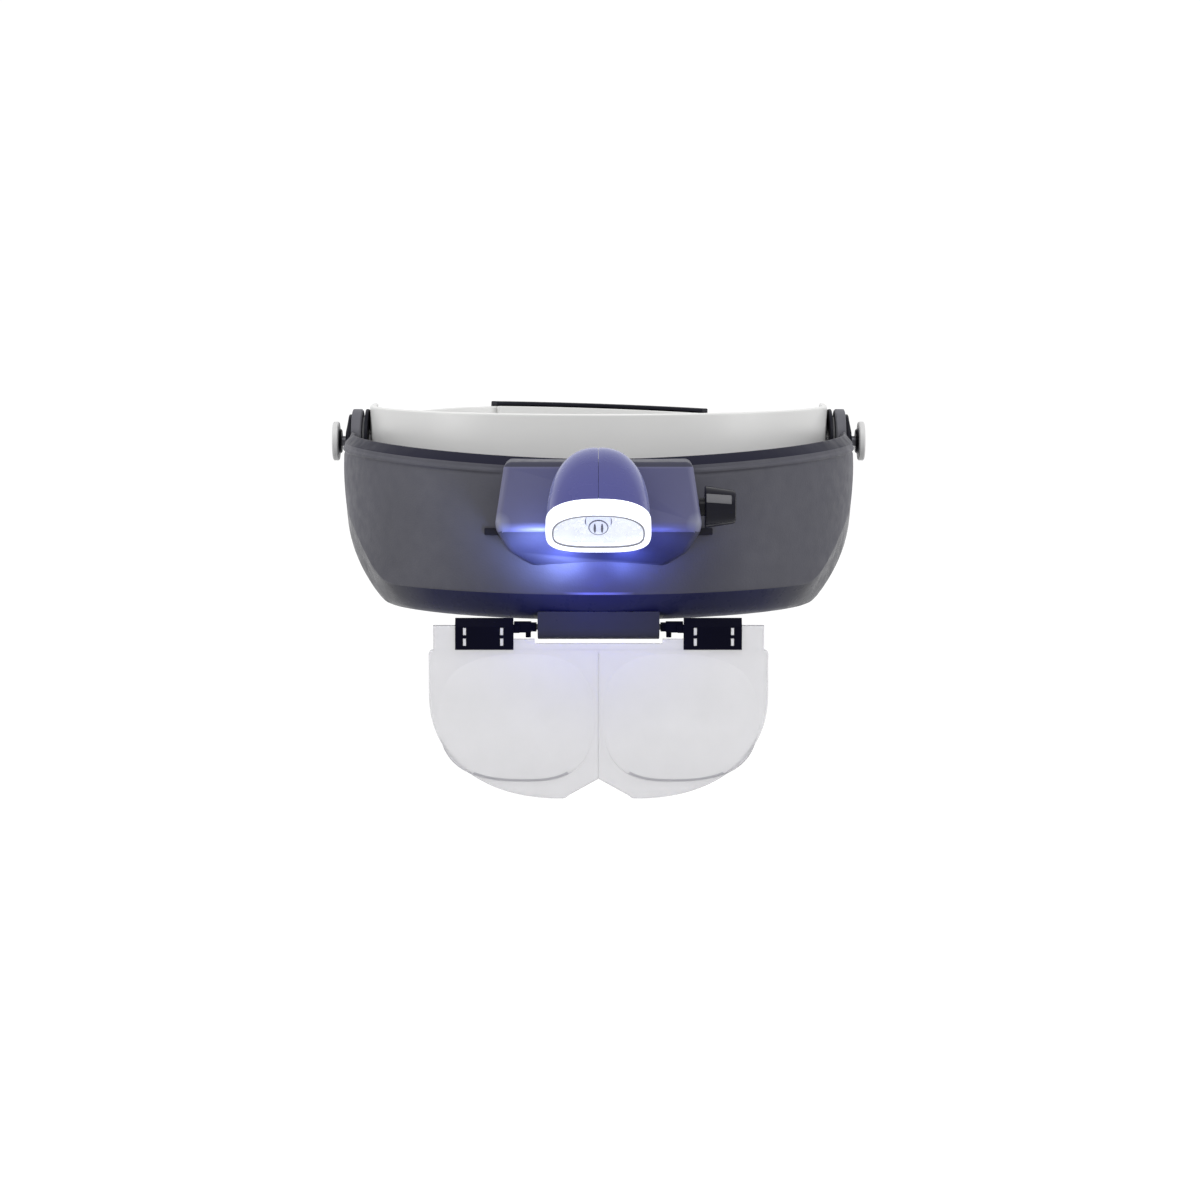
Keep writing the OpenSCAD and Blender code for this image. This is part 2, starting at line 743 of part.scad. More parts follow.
module contact_plates() color("silver")
    for (side = [-1, 1]) on_side(side)
        translate([plate_x0, cell_y - cell_d / 2 + 1, cell_z[1] - cell_d / 2 + 1])
            cube([plate_t, cell_d - 2, cell_z[0] - cell_z[1] + cell_d - 2]);

module box_screws() color("silver") box_screw_places() translate([0, 0, box_screw_head]) {
    cylinder(h = box_screw_len, r = box_screw_r);
    translate([0, 0, -1.4]) cylinder(h = 1.4, r = 2.3);
}

module switch_body() color("#15151c") {
    translate([tray_half + 0.2, cell_y - 4, switch_z - 4]) cube([2.2, 8, 8]);
    translate([0, cell_y, switch_z]) rod_x(tray_half + 2, switch_x - 0.4, 1.2);
}

module switch_knob() color("#101014") translate([0, cell_y, switch_z]) difference() {
    union() {
        rod_x(box_w / 2 - 1.8, switch_x + eps, switch_hub_r);
        rod_x(switch_x, switch_x + switch_len - switch_tip, switch_d / 2, switch_end_d / 2 + 0.2);
        rod_x(switch_x + switch_len - switch_tip, switch_x + switch_len, switch_end_d / 2 + 0.2,
            switch_end_d / 2 - 0.6);
    }
    rod_x(box_w / 2 - 3, switch_x - 0.3, 1.2 + run_gap);
    switch_inlay_form(0);
}

// Radius of the knob's cone at x
function switch_r(x) = mix(switch_d / 2, switch_end_d / 2 + 0.2, (x - switch_x) / (switch_len - switch_tip));

// Bar let into the knob's front along its cone, drawn in by gap
module switch_inlay_form(gap) {
    x0 = switch_x + 0.4 + gap;
    x1 = switch_x + switch_len - switch_tip * 2 - gap;
    rotate([-inlay_angle, 0, 0]) translate([0, 0, -inlay_w / 2 + gap]) linear_extrude(inlay_w - 2 * gap)
        polygon([
            [x0, -switch_r(x0) - 0.05], [x1, -switch_r(x1) - 0.05],
            [x1, inlay_t - gap - switch_r(x1)], [x0, inlay_t - gap - switch_r(x0)]
        ]);
}

module switch_inlay() color("#9a9aa2") translate([0, cell_y, switch_z]) switch_inlay_form(0.02);

// Lamp

// Cross-section of the lamp: arched above, nearly flat below
function lamp_section(grow, k = 1) = [
    for (i = [0:section_points - 1])
        let (
            a = 360 * i / section_points,
            p = sin(a) >= 0 ? arch_power : floor_power,
            h = sin(a) >= 0 ? lamp_top : lamp_bottom
        )
        [(lamp_w / 2 + grow) * k * signed_power(cos(a), 2 / p), (h + grow) * k * signed_power(sin(a), 2 / p)]
];

function dome_scale(t) = pow(max(0, 1 - pow(t, dome_power)), 1 / dome_power);

// Right half of a lamp section from the top round to the bottom
function half_section(grow, k) = [
    for (i = [0:half_points])
        let (
            a = 90 - 180 * i / half_points,
            p = a >= 0 ? arch_power : floor_power,
            h = a >= 0 ? lamp_top : lamp_bottom
        )
        [max(seam / 2, (lamp_w / 2 + grow) * k * signed_power(cos(a), 2 / p)), (h + grow) * k * signed_power(sin(a), 2 / p)]
];

dome_half_rings = [
    for (i = [dome_steps:-1:0])
        let (t = sin(88 * i / dome_steps))
        [for (q = half_section(0, dome_scale(t))) [q[0], q[1], -dome_len * t]]
];

// Room that the box's top front edge and face take up as the lamp tilts, in Y and Z
// from the lamp's hinge. The lamp's nose rises by lamp_up_deg and dips by lamp_down_deg.
lamp_clear_outline = let (
    lean_a = atan2(box_lean, box_face_h),
    top_gap = box_top_z - lamp_hinge_z + lamp_clear,
    face_gap_r = lamp_hinge_fwd * cos(lean_a) - (box_top_z - lamp_hinge_z) * sin(lean_a) - lamp_clear,
    edge_y = (face_gap_r + top_gap * sin(lean_a)) / cos(lean_a),
    edge_r = norm([edge_y, top_gap]),
    edge_a = atan2(top_gap, edge_y) + lamp_up_deg,
    low_a = -lean_a - lamp_down_deg,
    far = dome_len * 2
) [
    edge_r * [cos(edge_a), sin(edge_a)],
    for (a = [lamp_up_deg - lean_a:-5:low_a]) face_gap_r * [cos(a), sin(a)],
    face_gap_r * [cos(low_a), sin(low_a)] + far * [sin(low_a), -cos(low_a)],
    [far, -far],
    [far, far],
    edge_r * [cos(edge_a), sin(edge_a)] + far * [cos(lamp_up_deg), sin(lamp_up_deg)]
];

stalk_slot_outline = [
    [-stalk_r - 1, -stalk_r - 1], [0, -stalk_r - 2], [lamp_hinge_fwd * 2, -lamp_hinge_fwd * 2.5],
    [lamp_hinge_fwd * 2, lamp_hinge_fwd * 2], [0, stalk_r + 1], [-stalk_r - 1, stalk_r + 1]
];

// Half of the lamp's shell, hollow in two steps and open below at its hinge
module lamp_half(side) color("#5a5c78") difference() {
    at_lamp() difference() {
        on_side(side) skin(dome_half_rings);
        for (q = [[2, -hollow_len * 0.55, 0.93], [-hollow_len * 0.5, -hollow_len, 0.78]])
            translate([0, 0, q[1]]) linear_extrude(q[0] - q[1]) polygon(lamp_section(-lamp_wall, q[2]));
    }
    translate([0, lamp_hinge_y, lamp_hinge_z]) {
        plate_x(-lamp_w, lamp_w, lamp_clear_outline);
        plate_x(-stalk_w / 2 - 0.4, stalk_w / 2 + 0.4, stalk_slot_outline);
        rod_x(-boss_out, boss_out, lamp_pin_d / 2 + run_gap);
    }
}

module lamp_shell_left() lamp_half(1);

module lamp_shell_right() lamp_half(-1);

module lamp_bezel() color("white", 0.8) at_lamp() difference() {
    translate([0, 0, seat_gap]) linear_extrude(bezel_len - seat_gap) polygon(lamp_section(0.3));
    linear_extrude(bezel_len * 2) polygon(lamp_section(-bezel_wall));
}

module lamp_window() color("white", 0.5) at_lamp()
    translate([0, 0, bezel_len - 2]) linear_extrude(1.2) polygon(lamp_section(-bezel_wall - 0.05));

// Chromed plate that fills the bezel, with a collar round the diode
module lamp_reflector() color("silver") at_lamp() {
    plate_z = bezel_len - 3.4;
    bore_r = led_r + led_wall_gap;
    rotate_extrude() polygon([
        [bore_r, led_z - led_body + 1], [bore_r + 0.4, led_z - led_body + 1], [bore_r + 0.4, plate_z - 0.4],
        [bore_r, plate_z - 0.4]
    ]);
    difference() {
        translate([0, 0, plate_z - 0.8]) linear_extrude(0.8) polygon(lamp_section(-bezel_wall - 0.1));
        translate([0, 0, plate_z - 2]) cylinder(h = 4, r = bore_r);
    }
}

module lamp_led() color("white", 0.9) at_lamp() {
    translate([0, 0, led_z - led_body - 0.9]) cylinder(h = 1, r = led_r + 0.5);
    translate([0, 0, led_z - led_body]) cylinder(h = led_body, r = led_r);
    translate([0, 0, led_z]) intersection() {
        sphere(r = led_r);
        translate([-led_r, -led_r, 0]) cube(led_r * 2);
    }
}

module lamp_board() color("seagreen") at_lamp()
    translate([0, 0, led_z - led_body - 2.1]) cylinder(h = 1.2, r = led_r + 1);

module lamp_stalk() color("#3c3c48") difference() {
    union() {
        translate([0, lamp_hinge_y, lamp_hinge_z]) rod_x(-stalk_w / 2, stalk_w / 2, stalk_r);
        plate_x(-stalk_w / 2 + eps, stalk_w / 2 - eps, stalk_outline);
    }
    translate([0, lamp_hinge_y, lamp_hinge_z]) rod_x(-stalk_w, stalk_w, lamp_pin_d / 2);
}

module lamp_pin() color("silver")
    translate([0, lamp_hinge_y, lamp_hinge_z]) rod_x(-boss_out + 0.3, boss_out - 0.3, lamp_pin_d / 2);

// Lens plate

// Right half of the lens outline, from the top middle round to the nose notch
lens_half = let (
    w = lens_w / 2,
    side_z = lens_top_z - lens_side_h,
    low_x = nose_w / 2,
    steps = 12
) concat(
    [[0, lens_top_z], [w - 1, lens_top_z], [w, lens_top_z - 1]],
    [for (k = [0:steps]) let (a = 90 * k / steps)
        [low_x + (w - low_x) * pow(cos(a), 2 / lens_corner_power), side_z - lens_corner_h * pow(sin(a), 2 / lens_corner_power)]],
    [[0, side_z - lens_corner_h + nose_rise]]
);

module lens_half_plate() intersection() {
    plate_y(lens_front_y - 1, lens_axis_y + 0.5, lens_half);
    translate([lens_w / 4, lens_front_y + lens_curve_r, lens_top_z - lens_side_h - lens_corner_h / 4])
        sphere(r = lens_curve_r, $fn = 240);
}

module lens_plate() color("#dcdce6", 0.6) {
    step_x = block_w / 2 + 1;
    top = lens_axis_z + lens_flange_up;
    arm_z = lens_axis_z - arm_half - nub_drop - notch_gap;
    mid_z = lens_axis_z - block_r - 1.3;
    for (side = [-1, 1]) on_side(side) {
        lens_half_plate();
        plate_y(flange_y0, flange_y0 + lens_flange_t, [
            [0, lens_top_z - eps], [lens_flange_w / 2, lens_top_z - eps], [lens_flange_w / 2, top],
            [lens_bracket_in, top], [lens_bracket_in, arm_z], [step_x, arm_z], [step_x, mid_z], [0, mid_z]
        ]);
        lens_peg_places() cube([peg_w - 0.2, lens_bracket_t + seat_gap, peg_h - 0.2]);
    }
}

// Places of the pegs that hold a bracket on the flange, at each peg's low corner
module lens_peg_places() {
    for (x = peg_x, drop = peg_drop)
        translate([lens_bracket_in + x + 0.1, bracket_y0, lens_axis_z - drop - peg_h / 2 + 0.1]) children();
}

// Plate pressed on the flange, with an arm that holds the axle and a nub below it
module lens_bracket(side) color("#101016") on_side(side) difference() {
    union() {
        plate_x(lens_bracket_in, lens_bracket_in + lens_bracket_w, [
            [bracket_y0, lens_axis_z - bracket_down], [bracket_y1, lens_axis_z - bracket_down],
            [bracket_y1, lens_axis_z + bracket_up], [bracket_y0, lens_axis_z + bracket_up - bracket_slope]
        ]);
        translate([0, lens_axis_y, lens_axis_z]) {
            translate([arm_in + arm_step, -arm_reach, -arm_half])
                cube([lens_bracket_in - arm_in - arm_step - 0.1, 2 * arm_reach, 2 * arm_half]);
            translate([arm_in, 0.6 - arm_reach, 0.3 - arm_half])
                cube([arm_step + 0.1, 2 * arm_reach - 1.2, 2 * arm_half - 0.6]);
            translate([lens_bracket_in - bridge_w, -bridge_fwd, -arm_half])
                cube([bridge_w + 0.2, bridge_fwd - 1.5, arm_half + bridge_up]);
            translate([arm_in + arm_step + 1, 0, -arm_half - nub_drop]) cylinder(h = nub_drop + 0.2, r = nub_r);
        }
    }
    translate([0, lens_axis_y, lens_axis_z]) rod_x(0, lens_bracket_in - 1, axle_r);
    translate([-0.1, -1, -0.1]) lens_peg_places() cube([peg_w, lens_bracket_t + 2, peg_h]);
}

module left_lens_bracket() lens_bracket(1);

module right_lens_bracket() lens_bracket(-1);

module lens_axle() color("#2a2a30")
    translate([0, lens_axis_y, lens_axis_z]) rod_x(-lens_bracket_in + 1.2, lens_bracket_in - 1.2, axle_r);

// Rear adjuster

// Frame of the ratchet's axis, which runs along +Y
module at_ratchet(y) {
    rotate([0, rear_roll, 0]) translate([0, y, -ratchet_drop]) rotate([-90, 0, 0]) children();
}

module rear_housing() color("#17171c") difference() {
    union() {
        at_rear() arc_wall(cavity_in + seat_gap, rear_out, cavity_low - rear_wall, cavity_top + rear_wall,
            -rear_angle, rear_angle);
        at_ratchet(hub_y - hub_len - 1.5) cylinder(h = hub_len + 1.5, r = hub_r);
    }
    at_rear() arc_wall(cavity_in - 1, cavity_out, cavity_low, cavity_top, -rear_angle - 2, rear_angle + 2);
    at_ratchet(half_straight + cavity_in) cylinder(h = rear_through, r = shaft_r + run_gap);
    rear_screw_places() cylinder(h = rear_through, r = rear_screw_r, center = true);
}

module rear_liner() color("whitesmoke") difference() {
    at_rear() arc_wall(liner_in, liner_in + liner_t, strap_low - 0.1, strap_top + 0.1, -rear_angle, rear_angle);
    rear_screw_places() cylinder(h = rear_through, r = rear_screw_r, center = true);
}

// Screws through liner and housing on each side of the knob, between the racks
module rear_screw_places() {
    for (side = [-1, 1])
        at_rear() rotate([0, 0, side * rear_screw_angle])
            translate([0, (liner_in + rear_out) / 2, -ratchet_drop]) rotate([90, 0, 0]) children();
}

module rear_screws() color("silver")
    rear_screw_places() translate([0, 0, (liner_in - rear_out) / 2])
        cylinder(h = rear_out - liner_in - 0.3, r = rear_screw_r);

module knob_washer() color("silver") at_ratchet(hub_y) difference() {
    cylinder(h = knob_gap - 0.3, r = hub_r - 0.5);
    translate([0, 0, -1]) cylinder(h = 4, r = shaft_r + run_gap);
}

module ratchet_knob() color("#17171c") at_ratchet(knob_y) difference() {
    rim_t = 1.5;
    union() {
        cylinder(h = ratchet_t - rim_t, r1 = ratchet_d / 2, r2 = ratchet_d / 2 - 0.8);
        translate([0, 0, ratchet_t - rim_t]) cylinder(h = rim_t, r1 = ratchet_d / 2 - 0.8, r2 = ratchet_d / 2 - 2);
    }
    for (k = [0:grip_count - 1])
        rotate([0, 0, 360 * k / grip_count]) translate([ratchet_d / 2 + 0.6, 0, -1])
            cylinder(h = ratchet_t + 2, r = 1.4, $fn = 20);
    translate([0, 0, -1]) cylinder(h = ratchet_t - 4, r = shaft_r);
    cylinder(h = ratchet_t + 1, r = ratchet_screw_r);
    translate([0, 0, ratchet_t - 2]) cylinder(h = 3, r = 3);
}

// Pinion outline with a tooth on its +Y and on its -Y side
function pinion_outline() = [
    for (k = [0:gear_teeth - 1])
        let (a = 90 + 360 * k / gear_teeth)
        for (p = [
            [pitch_r - root_h, -tooth_half - root_h * tooth_slope * 0.6],
            [pitch_r + tip_h, -tooth_half + tip_h * tooth_slope],
            [pitch_r + tip_h, tooth_half - tip_h * tooth_slope],
            [pitch_r - root_h, tooth_half + root_h * tooth_slope * 0.6]
        ])
        [p[0] * cos(a) - p[1] * sin(a), p[0] * sin(a) + p[1] * cos(a)]
];

module ratchet_pinion() color("whitesmoke") difference() {
    gear_y0 = half_straight + cavity_in + 0.5;
    gear_t = cavity_out - cavity_in - 0.9;
    shaft_end = knob_y + ratchet_t - 5;
    union() {
        at_ratchet(gear_y0) linear_extrude(gear_t) polygon(pinion_outline());
        at_ratchet(gear_y0 + gear_t - eps) cylinder(h = 1.5, r = pitch_r - root_h);
        at_ratchet(gear_y0 + gear_t + 0.8) cylinder(h = shaft_end - gear_y0 - gear_t - 0.8, r = shaft_r);
    }
    at_ratchet(knob_y) cylinder(h = ratchet_t, r = ratchet_screw_r);
}

module ratchet_screw() color("silver") at_ratchet(knob_y + 0.2) {
    cylinder(h = ratchet_t - 2.2, r = ratchet_screw_r);
    translate([0, 0, ratchet_t - 2.2]) cylinder(h = 1.4, r = ratchet_screw_r * 2);
}

// Toothed end of a strap: the right one runs above the pinion, the left one below,
// and a gap between two teeth lies over the pinion's axis
module rack(side) color("whitesmoke") at_rear() translate([0, 0, -ratchet_drop]) {
    up = -side;
    root = pitch_r + root_h;
    r0 = rack_mid_r - rack_t / 2;
    on_side(side)
        arc_wall(r0, r0 + rack_t, up > 0 ? root : -rack_edge, up > 0 ? rack_edge : -root, -rack_reach, rack_start);
    for (k = [0:rack_teeth - 1])
        rotate([0, 0, -side * (k - 1.5) * rack_angle_pitch])
            plate_y(r0 + 0.02, r0 + rack_t - 0.02, [
                [-tooth_half - root_h * tooth_slope, up * (root + 0.3)],
                [-tooth_half + tip_h * tooth_slope, up * (pitch_r - tip_h)],
                [tooth_half - tip_h * tooth_slope, up * (pitch_r - tip_h)],
                [tooth_half + root_h * tooth_slope, up * (root + 0.3)]
            ]);
}

module left_rack() rack(1);

module right_rack() rack(-1);

forehead_band();
sweat_pad();
left_strap();
right_strap();
left_pivot_bracket();
right_pivot_bracket();
bracket_rivets();
pivot_washers();
pivot_nuts();
rear_housing();
rear_liner();
rear_screws();
knob_washer();
ratchet_knob();
ratchet_pinion();
ratchet_screw();
left_rack();
right_rack();
visor_shell();
battery_tray();
battery_box();
battery_cells();
contact_springs();
contact_plates();
box_screws();
switch_body();
lamp_stalk();
lamp_pin();
switch_knob();
switch_inlay();
lamp_shell_left();
lamp_shell_right();
lamp_bezel();
lamp_window();
lamp_reflector();
lamp_led();
lamp_board();
lens_plate();
left_lens_bracket();
right_lens_bracket();
lens_axle();
left_thumb_knob();
right_thumb_knob();
left_thumb_screw();
right_thumb_screw();
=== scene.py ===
import math

import bmesh
import bpy
from mathutils import Matrix, Vector


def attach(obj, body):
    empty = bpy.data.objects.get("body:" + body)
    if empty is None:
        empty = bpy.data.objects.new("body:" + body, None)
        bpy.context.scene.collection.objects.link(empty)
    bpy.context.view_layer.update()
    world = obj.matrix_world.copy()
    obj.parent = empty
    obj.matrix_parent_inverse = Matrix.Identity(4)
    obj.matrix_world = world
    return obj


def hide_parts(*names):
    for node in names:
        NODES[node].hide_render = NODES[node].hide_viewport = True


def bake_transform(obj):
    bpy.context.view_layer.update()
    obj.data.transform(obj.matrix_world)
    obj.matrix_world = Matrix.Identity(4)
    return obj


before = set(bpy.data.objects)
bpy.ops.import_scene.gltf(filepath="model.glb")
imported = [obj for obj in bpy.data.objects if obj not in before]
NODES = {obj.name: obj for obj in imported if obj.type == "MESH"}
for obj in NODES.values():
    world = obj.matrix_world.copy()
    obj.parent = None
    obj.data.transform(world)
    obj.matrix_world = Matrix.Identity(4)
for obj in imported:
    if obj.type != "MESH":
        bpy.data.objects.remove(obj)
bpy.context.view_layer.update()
MM = 0.001
BACKGROUND = (1.0, 1.0, 1.0)


# Node helpers

def new_material(name, **inputs):
    mat = bpy.data.materials.new(name)
    mat.use_nodes = True
    shader = mat.node_tree.nodes["Principled BSDF"]
    for key, value in inputs.items():
        shader.inputs[key.replace("_", " ")].default_value = value
    return mat, mat.node_tree, shader


def add_node(tree, kind, **inputs):
    n = tree.nodes.new(kind)
    for key, value in inputs.items():
        name = key.replace("_", " ")
        if name in n.inputs:
            n.inputs[name].default_value = value
        else:
            setattr(n, key, value)
    return n


def object_points(tree):
    return tree.nodes.new("ShaderNodeTexCoord").outputs["Object"]


def split_points(tree):
    n = tree.nodes.new("ShaderNodeSeparateXYZ")
    tree.links.new(object_points(tree), n.inputs[0])
    return n.outputs


def calculate(tree, operation, *sources):
    """Math node; each source is a number or another node's output."""
    n = add_node(tree, "ShaderNodeMath", operation=operation)
    for source, socket in zip(sources, n.inputs):
        if isinstance(source, float):
            socket.default_value = source
        else:
            tree.links.new(source, socket)
    return n.outputs[0]


def noise(tree, scale, detail=3.0):
    n = add_node(tree, "ShaderNodeTexNoise", Scale=scale, Detail=detail, Roughness=0.55)
    tree.links.new(object_points(tree), n.inputs["Vector"])
    return n.outputs["Fac"]


def spread(tree, fac, low, high, from_low=0.3, from_high=0.7):
    n = tree.nodes.new("ShaderNodeMapRange")
    for i, v in ((1, from_low), (2, from_high), (3, low), (4, high)):
        n.inputs[i].default_value = v
    tree.links.new(fac, n.inputs[0])
    return n.outputs[0]


def mix_colours(tree, fac, a, b):
    """Goes from a to the colour b; a is a colour or another node's output."""
    n = add_node(tree, "ShaderNodeMix", data_type="RGBA")
    tree.links.new(fac, n.inputs[0])
    if isinstance(a, bpy.types.NodeSocket):
        tree.links.new(a, n.inputs[6])
    else:
        n.inputs[6].default_value = (*a, 1)
    n.inputs[7].default_value = (*b, 1)
    return n.outputs[2]


def drift(tree, scale, low, high):
    """Colour that drifts between two over the surface."""
    return mix_colours(tree, spread(tree, noise(tree, scale), 0, 1), low, high)


def uneven(tree, shader, scale, low, high):
    """Roughness that drifts between two values over the surface."""
    tree.links.new(spread(tree, noise(tree, scale), low, high), shader.inputs["Roughness"])


def bump(tree, shader, height, distance, strength=1.0):
    n = add_node(tree, "ShaderNodeBump", Distance=distance, Strength=strength)
    tree.links.new(height, n.inputs["Height"])
    tree.links.new(n.outputs["Normal"], shader.inputs["Normal"])


# Materials

def plastic(name, colour, rough, grain=1800, depth=0.00002, vary=0.06, spread_rough=0.08, coat=0.0, edge=0.0,
            shine=0.5, sheen=0.0, side_colour=None, side_range=(0.056, 0.072), rim_colour=None, corner=None):
    """Moulded plastic: slight colour drift, a fine moulded grain and uneven gloss.

    side_colour shows away from the middle, edge paints a highlight on the edges, rim_colour paints a
    highlight where the face turns away, and corner gives a painted highlight: a place on both sides, its
    reach and the colour there.
    """
    mat, tree, shader = new_material(name, Specular_IOR_Level=shine, Coat_Weight=coat, Sheen_Weight=sheen,
                                     Sheen_Roughness=0.2, Sheen_Tint=(0.75, 0.78, 1.0, 1))
    out = drift(tree, 35, [c * (1 - vary) for c in colour], [c * (1 + vary) for c in colour])
    # Colour away from the middle, used for painted light: lighter cheeks on the visor's bevel and the end of
    # the crease's painted highlight
    if side_colour:
        away = calculate(tree, "ABSOLUTE", split_points(tree)["X"])
        out = mix_colours(tree, spread(tree, away, 0, 1, *side_range), out, side_colour)
    # Painted highlight: sharp convex edges, found by pointiness, get a lighter colour
    if edge:
        point = tree.nodes.new("ShaderNodeNewGeometry").outputs["Pointiness"]
        out = mix_colours(tree, spread(tree, point, 0, 1, 0.51, 0.6), out, [c + edge for c in colour])
    # Painted highlight on the parts of the face that turn away, as at a glancing rim
    if rim_colour:
        facing = add_node(tree, "ShaderNodeLayerWeight", Blend=0.5).outputs["Facing"]
        out = mix_colours(tree, spread(tree, facing, 0, 1, 0.45, 1.0), out, rim_colour)
    # Painted highlight: a lighter spot round a place, mirrored to both sides
    if corner:
        place, reach, corner_highlight_colour = corner
        fold = add_node(tree, "ShaderNodeVectorMath", operation="ABSOLUTE")
        tree.links.new(object_points(tree), fold.inputs[0])
        away = add_node(tree, "ShaderNodeVectorMath", operation="DISTANCE")
        tree.links.new(fold.outputs[0], away.inputs[0])
        away.inputs[1].default_value = [abs(c) * MM for c in place]
        near = spread(tree, away.outputs["Value"], 1, 0, 0, reach * MM)
        out = mix_colours(tree, near, out, corner_highlight_colour)
    tree.links.new(out, shader.inputs["Base Color"])
    uneven(tree, shader, 220, rough - spread_rough, rough + spread_rough)
    bump(tree, shader, noise(tree, grain, 2), depth)
    return mat


def metal(name, colour, rough, grain=1200):
    mat, tree, shader = new_material(name, Metallic=1)
    tree.links.new(drift(tree, 300, [c * 0.88 for c in colour], colour), shader.inputs["Base Color"])
    uneven(tree, shader, 900, rough - 0.07, rough + 0.09)
    bump(tree, shader, noise(tree, grain), 0.00001)
    return mat


def clear_plastic(name, tint, rough, milk, milk_colour, ior=1.49):
    """Clear resin that also scatters a share, milk, of the light from its surface."""
    mat, tree, shader = new_material(name, Base_Color=(*tint, 1), Transmission_Weight=1, IOR=ior)
    uneven(tree, shader, 400, rough * 0.6, rough * 1.4)
    bump(tree, shader, noise(tree, 60, 1), 0.00004)
    white = tree.nodes.new("ShaderNodeBsdfDiffuse")
    tree.links.new(drift(tree, 60, [c * 0.95 for c in milk_colour], milk_colour), white.inputs["Color"])
    join = tree.nodes.new("ShaderNodeMixShader")
    join.inputs[0].default_value = milk
    tree.links.new(shader.outputs[0], join.inputs[1])
    tree.links.new(white.outputs[0], join.inputs[2])
    tree.links.new(join.outputs[0], tree.nodes["Material Output"].inputs["Surface"])
    return mat


def glowing(name, colour, rough, emit, strength):
    """Milky plastic lit from inside, a little brighter in some places than in others."""
    mat, tree, shader = new_material(name, Base_Color=(*colour, 1), Transmission_Weight=0.3,
                                     Emission_Strength=strength)
    tree.links.new(drift(tree, 260, [c * 0.8 for c in emit], emit), shader.inputs["Emission Color"])
    uneven(tree, shader, 500, rough * 0.7, rough * 1.3)
    bump(tree, shader, noise(tree, 900), 0.00002)
    return mat


def foam_cloth(name, colour):
    """Knitted face of the sweat pad: rows of small stitches over soft foam."""
    mat, tree, shader = new_material(name, Sheen_Weight=0.35, Roughness=0.95)
    points = split_points(tree)
    angle = calculate(tree, "ARCTAN2", points["X"], points["Y"])
    waves = [calculate(tree, "SINE", calculate(tree, "MULTIPLY", source, scale))
             for source, scale in ((angle, 400.0), (points["Z"], 4600.0))]
    stitch = calculate(tree, "MULTIPLY", *waves)
    knit = mix_colours(tree, spread(tree, stitch, 0, 1, -1, 1), [c * 0.6 for c in colour],
                       [c * 1.5 for c in colour])
    tree.links.new(knit, shader.inputs["Base Color"])
    bump(tree, shader, stitch, 0.0002, 0.7)
    return mat


WHITE = plastic("white band plastic", (0.80, 0.80, 0.79), 0.34, depth=0.00001, vary=0.015, spread_rough=0.05)
# Textured visor plastic; its sharp edges get a painted highlight
VISOR = plastic("textured visor plastic", (0.071, 0.071, 0.089), 0.5, grain=1500, depth=0.00006,
                vary=0.10, edge=0.10, shine=0.25)
# Painted shade: a smoother, darker and bluer copy of the visor plastic for the bevel under the crease, with
# painted light making it lighter towards the cheeks
VISOR_SMOOTH_PAINTED_SHADE = plastic("smooth visor plastic with painted shade", (0.026, 0.028, 0.070), 0.3, depth=0.000004, vary=0.08,
                       shine=0.04, side_colour=(0.085, 0.085, 0.098))
# Painted shade: a smoother, darker copy of the visor plastic for the hinge block under the visor
BLOCK_PAINTED_SHADE = plastic("smooth block plastic with painted shade", (0.040, 0.041, 0.056), 0.35, depth=0.000004, vary=0.08, shine=0.12)
# Painted shade: a smoother, near-black copy of the visor plastic for the lip along its top
RIM_PAINTED_SHADE = plastic("smooth rim plastic with painted shade", (0.009, 0.009, 0.022), 0.4, depth=0.000004, vary=0.08, shine=0.12)
# Box plastic; its sharp edges and a spot at each lower front corner get a painted highlight
BOX = plastic("box plastic", (0.092, 0.094, 0.190), 0.42, grain=2200, depth=0.00003, edge=0.10, shine=0.3,
              corner=((32.6, -167.2, -19.6), 4.2, (0.26, 0.27, 0.36)))
# Painted shade: a darker copy of the box plastic for its chin and top faces; its sharp edges get a painted
# highlight
BOX_PAINTED_SHADE = plastic("box plastic with painted shade", (0.030, 0.031, 0.058), 0.4, grain=2200, edge=0.10, shine=0.1)
BLACK = plastic("black plastic", (0.008, 0.008, 0.014), 0.45, depth=0.00002, shine=0.12)
BRACKET = plastic("bracket plastic", (0.004, 0.004, 0.011), 0.5, depth=0.00002, shine=0.03)
GLOSS = plastic("black gloss plastic", (0.006, 0.006, 0.012), 0.2, depth=0.00001, shine=0.15)
HINGE = plastic("hinge plastic", (0.030, 0.030, 0.045), 0.42, shine=0.2)
# Grey bar along the switch knob's cone
GREY_BAR_PLASTIC = plastic("grey bar plastic", (0.13, 0.13, 0.14), 0.5, shine=0.3)
# Blue lamp plastic, with a painted highlight where the dome's face turns away
LAMP = plastic("lamp plastic", (0.062, 0.065, 0.235), 0.24, depth=0.000003, vary=0.04, coat=0.25, shine=0.2,
               sheen=0.35, rim_colour=(0.24, 0.26, 0.50))
LIGHT_GREY = plastic("light grey plastic", (0.66, 0.66, 0.66), 0.36, vary=0.02)
WASHER = plastic("grey washer plastic", (0.22, 0.22, 0.23), 0.55)
WRAP = plastic("cell sleeve", (0.05, 0.17, 0.07), 0.25)
BOARD = plastic("board lacquer", (0.02, 0.16, 0.06), 0.25)
STEEL = metal("plated steel", (0.62, 0.62, 0.61), 0.28, grain=2500)
DARK_METAL = metal("blackened steel", (0.08, 0.08, 0.09), 0.36)
LENS = clear_plastic("lens acrylic", (0.965, 0.963, 0.972), 0.03, 0.34, (0.74, 0.735, 0.77))
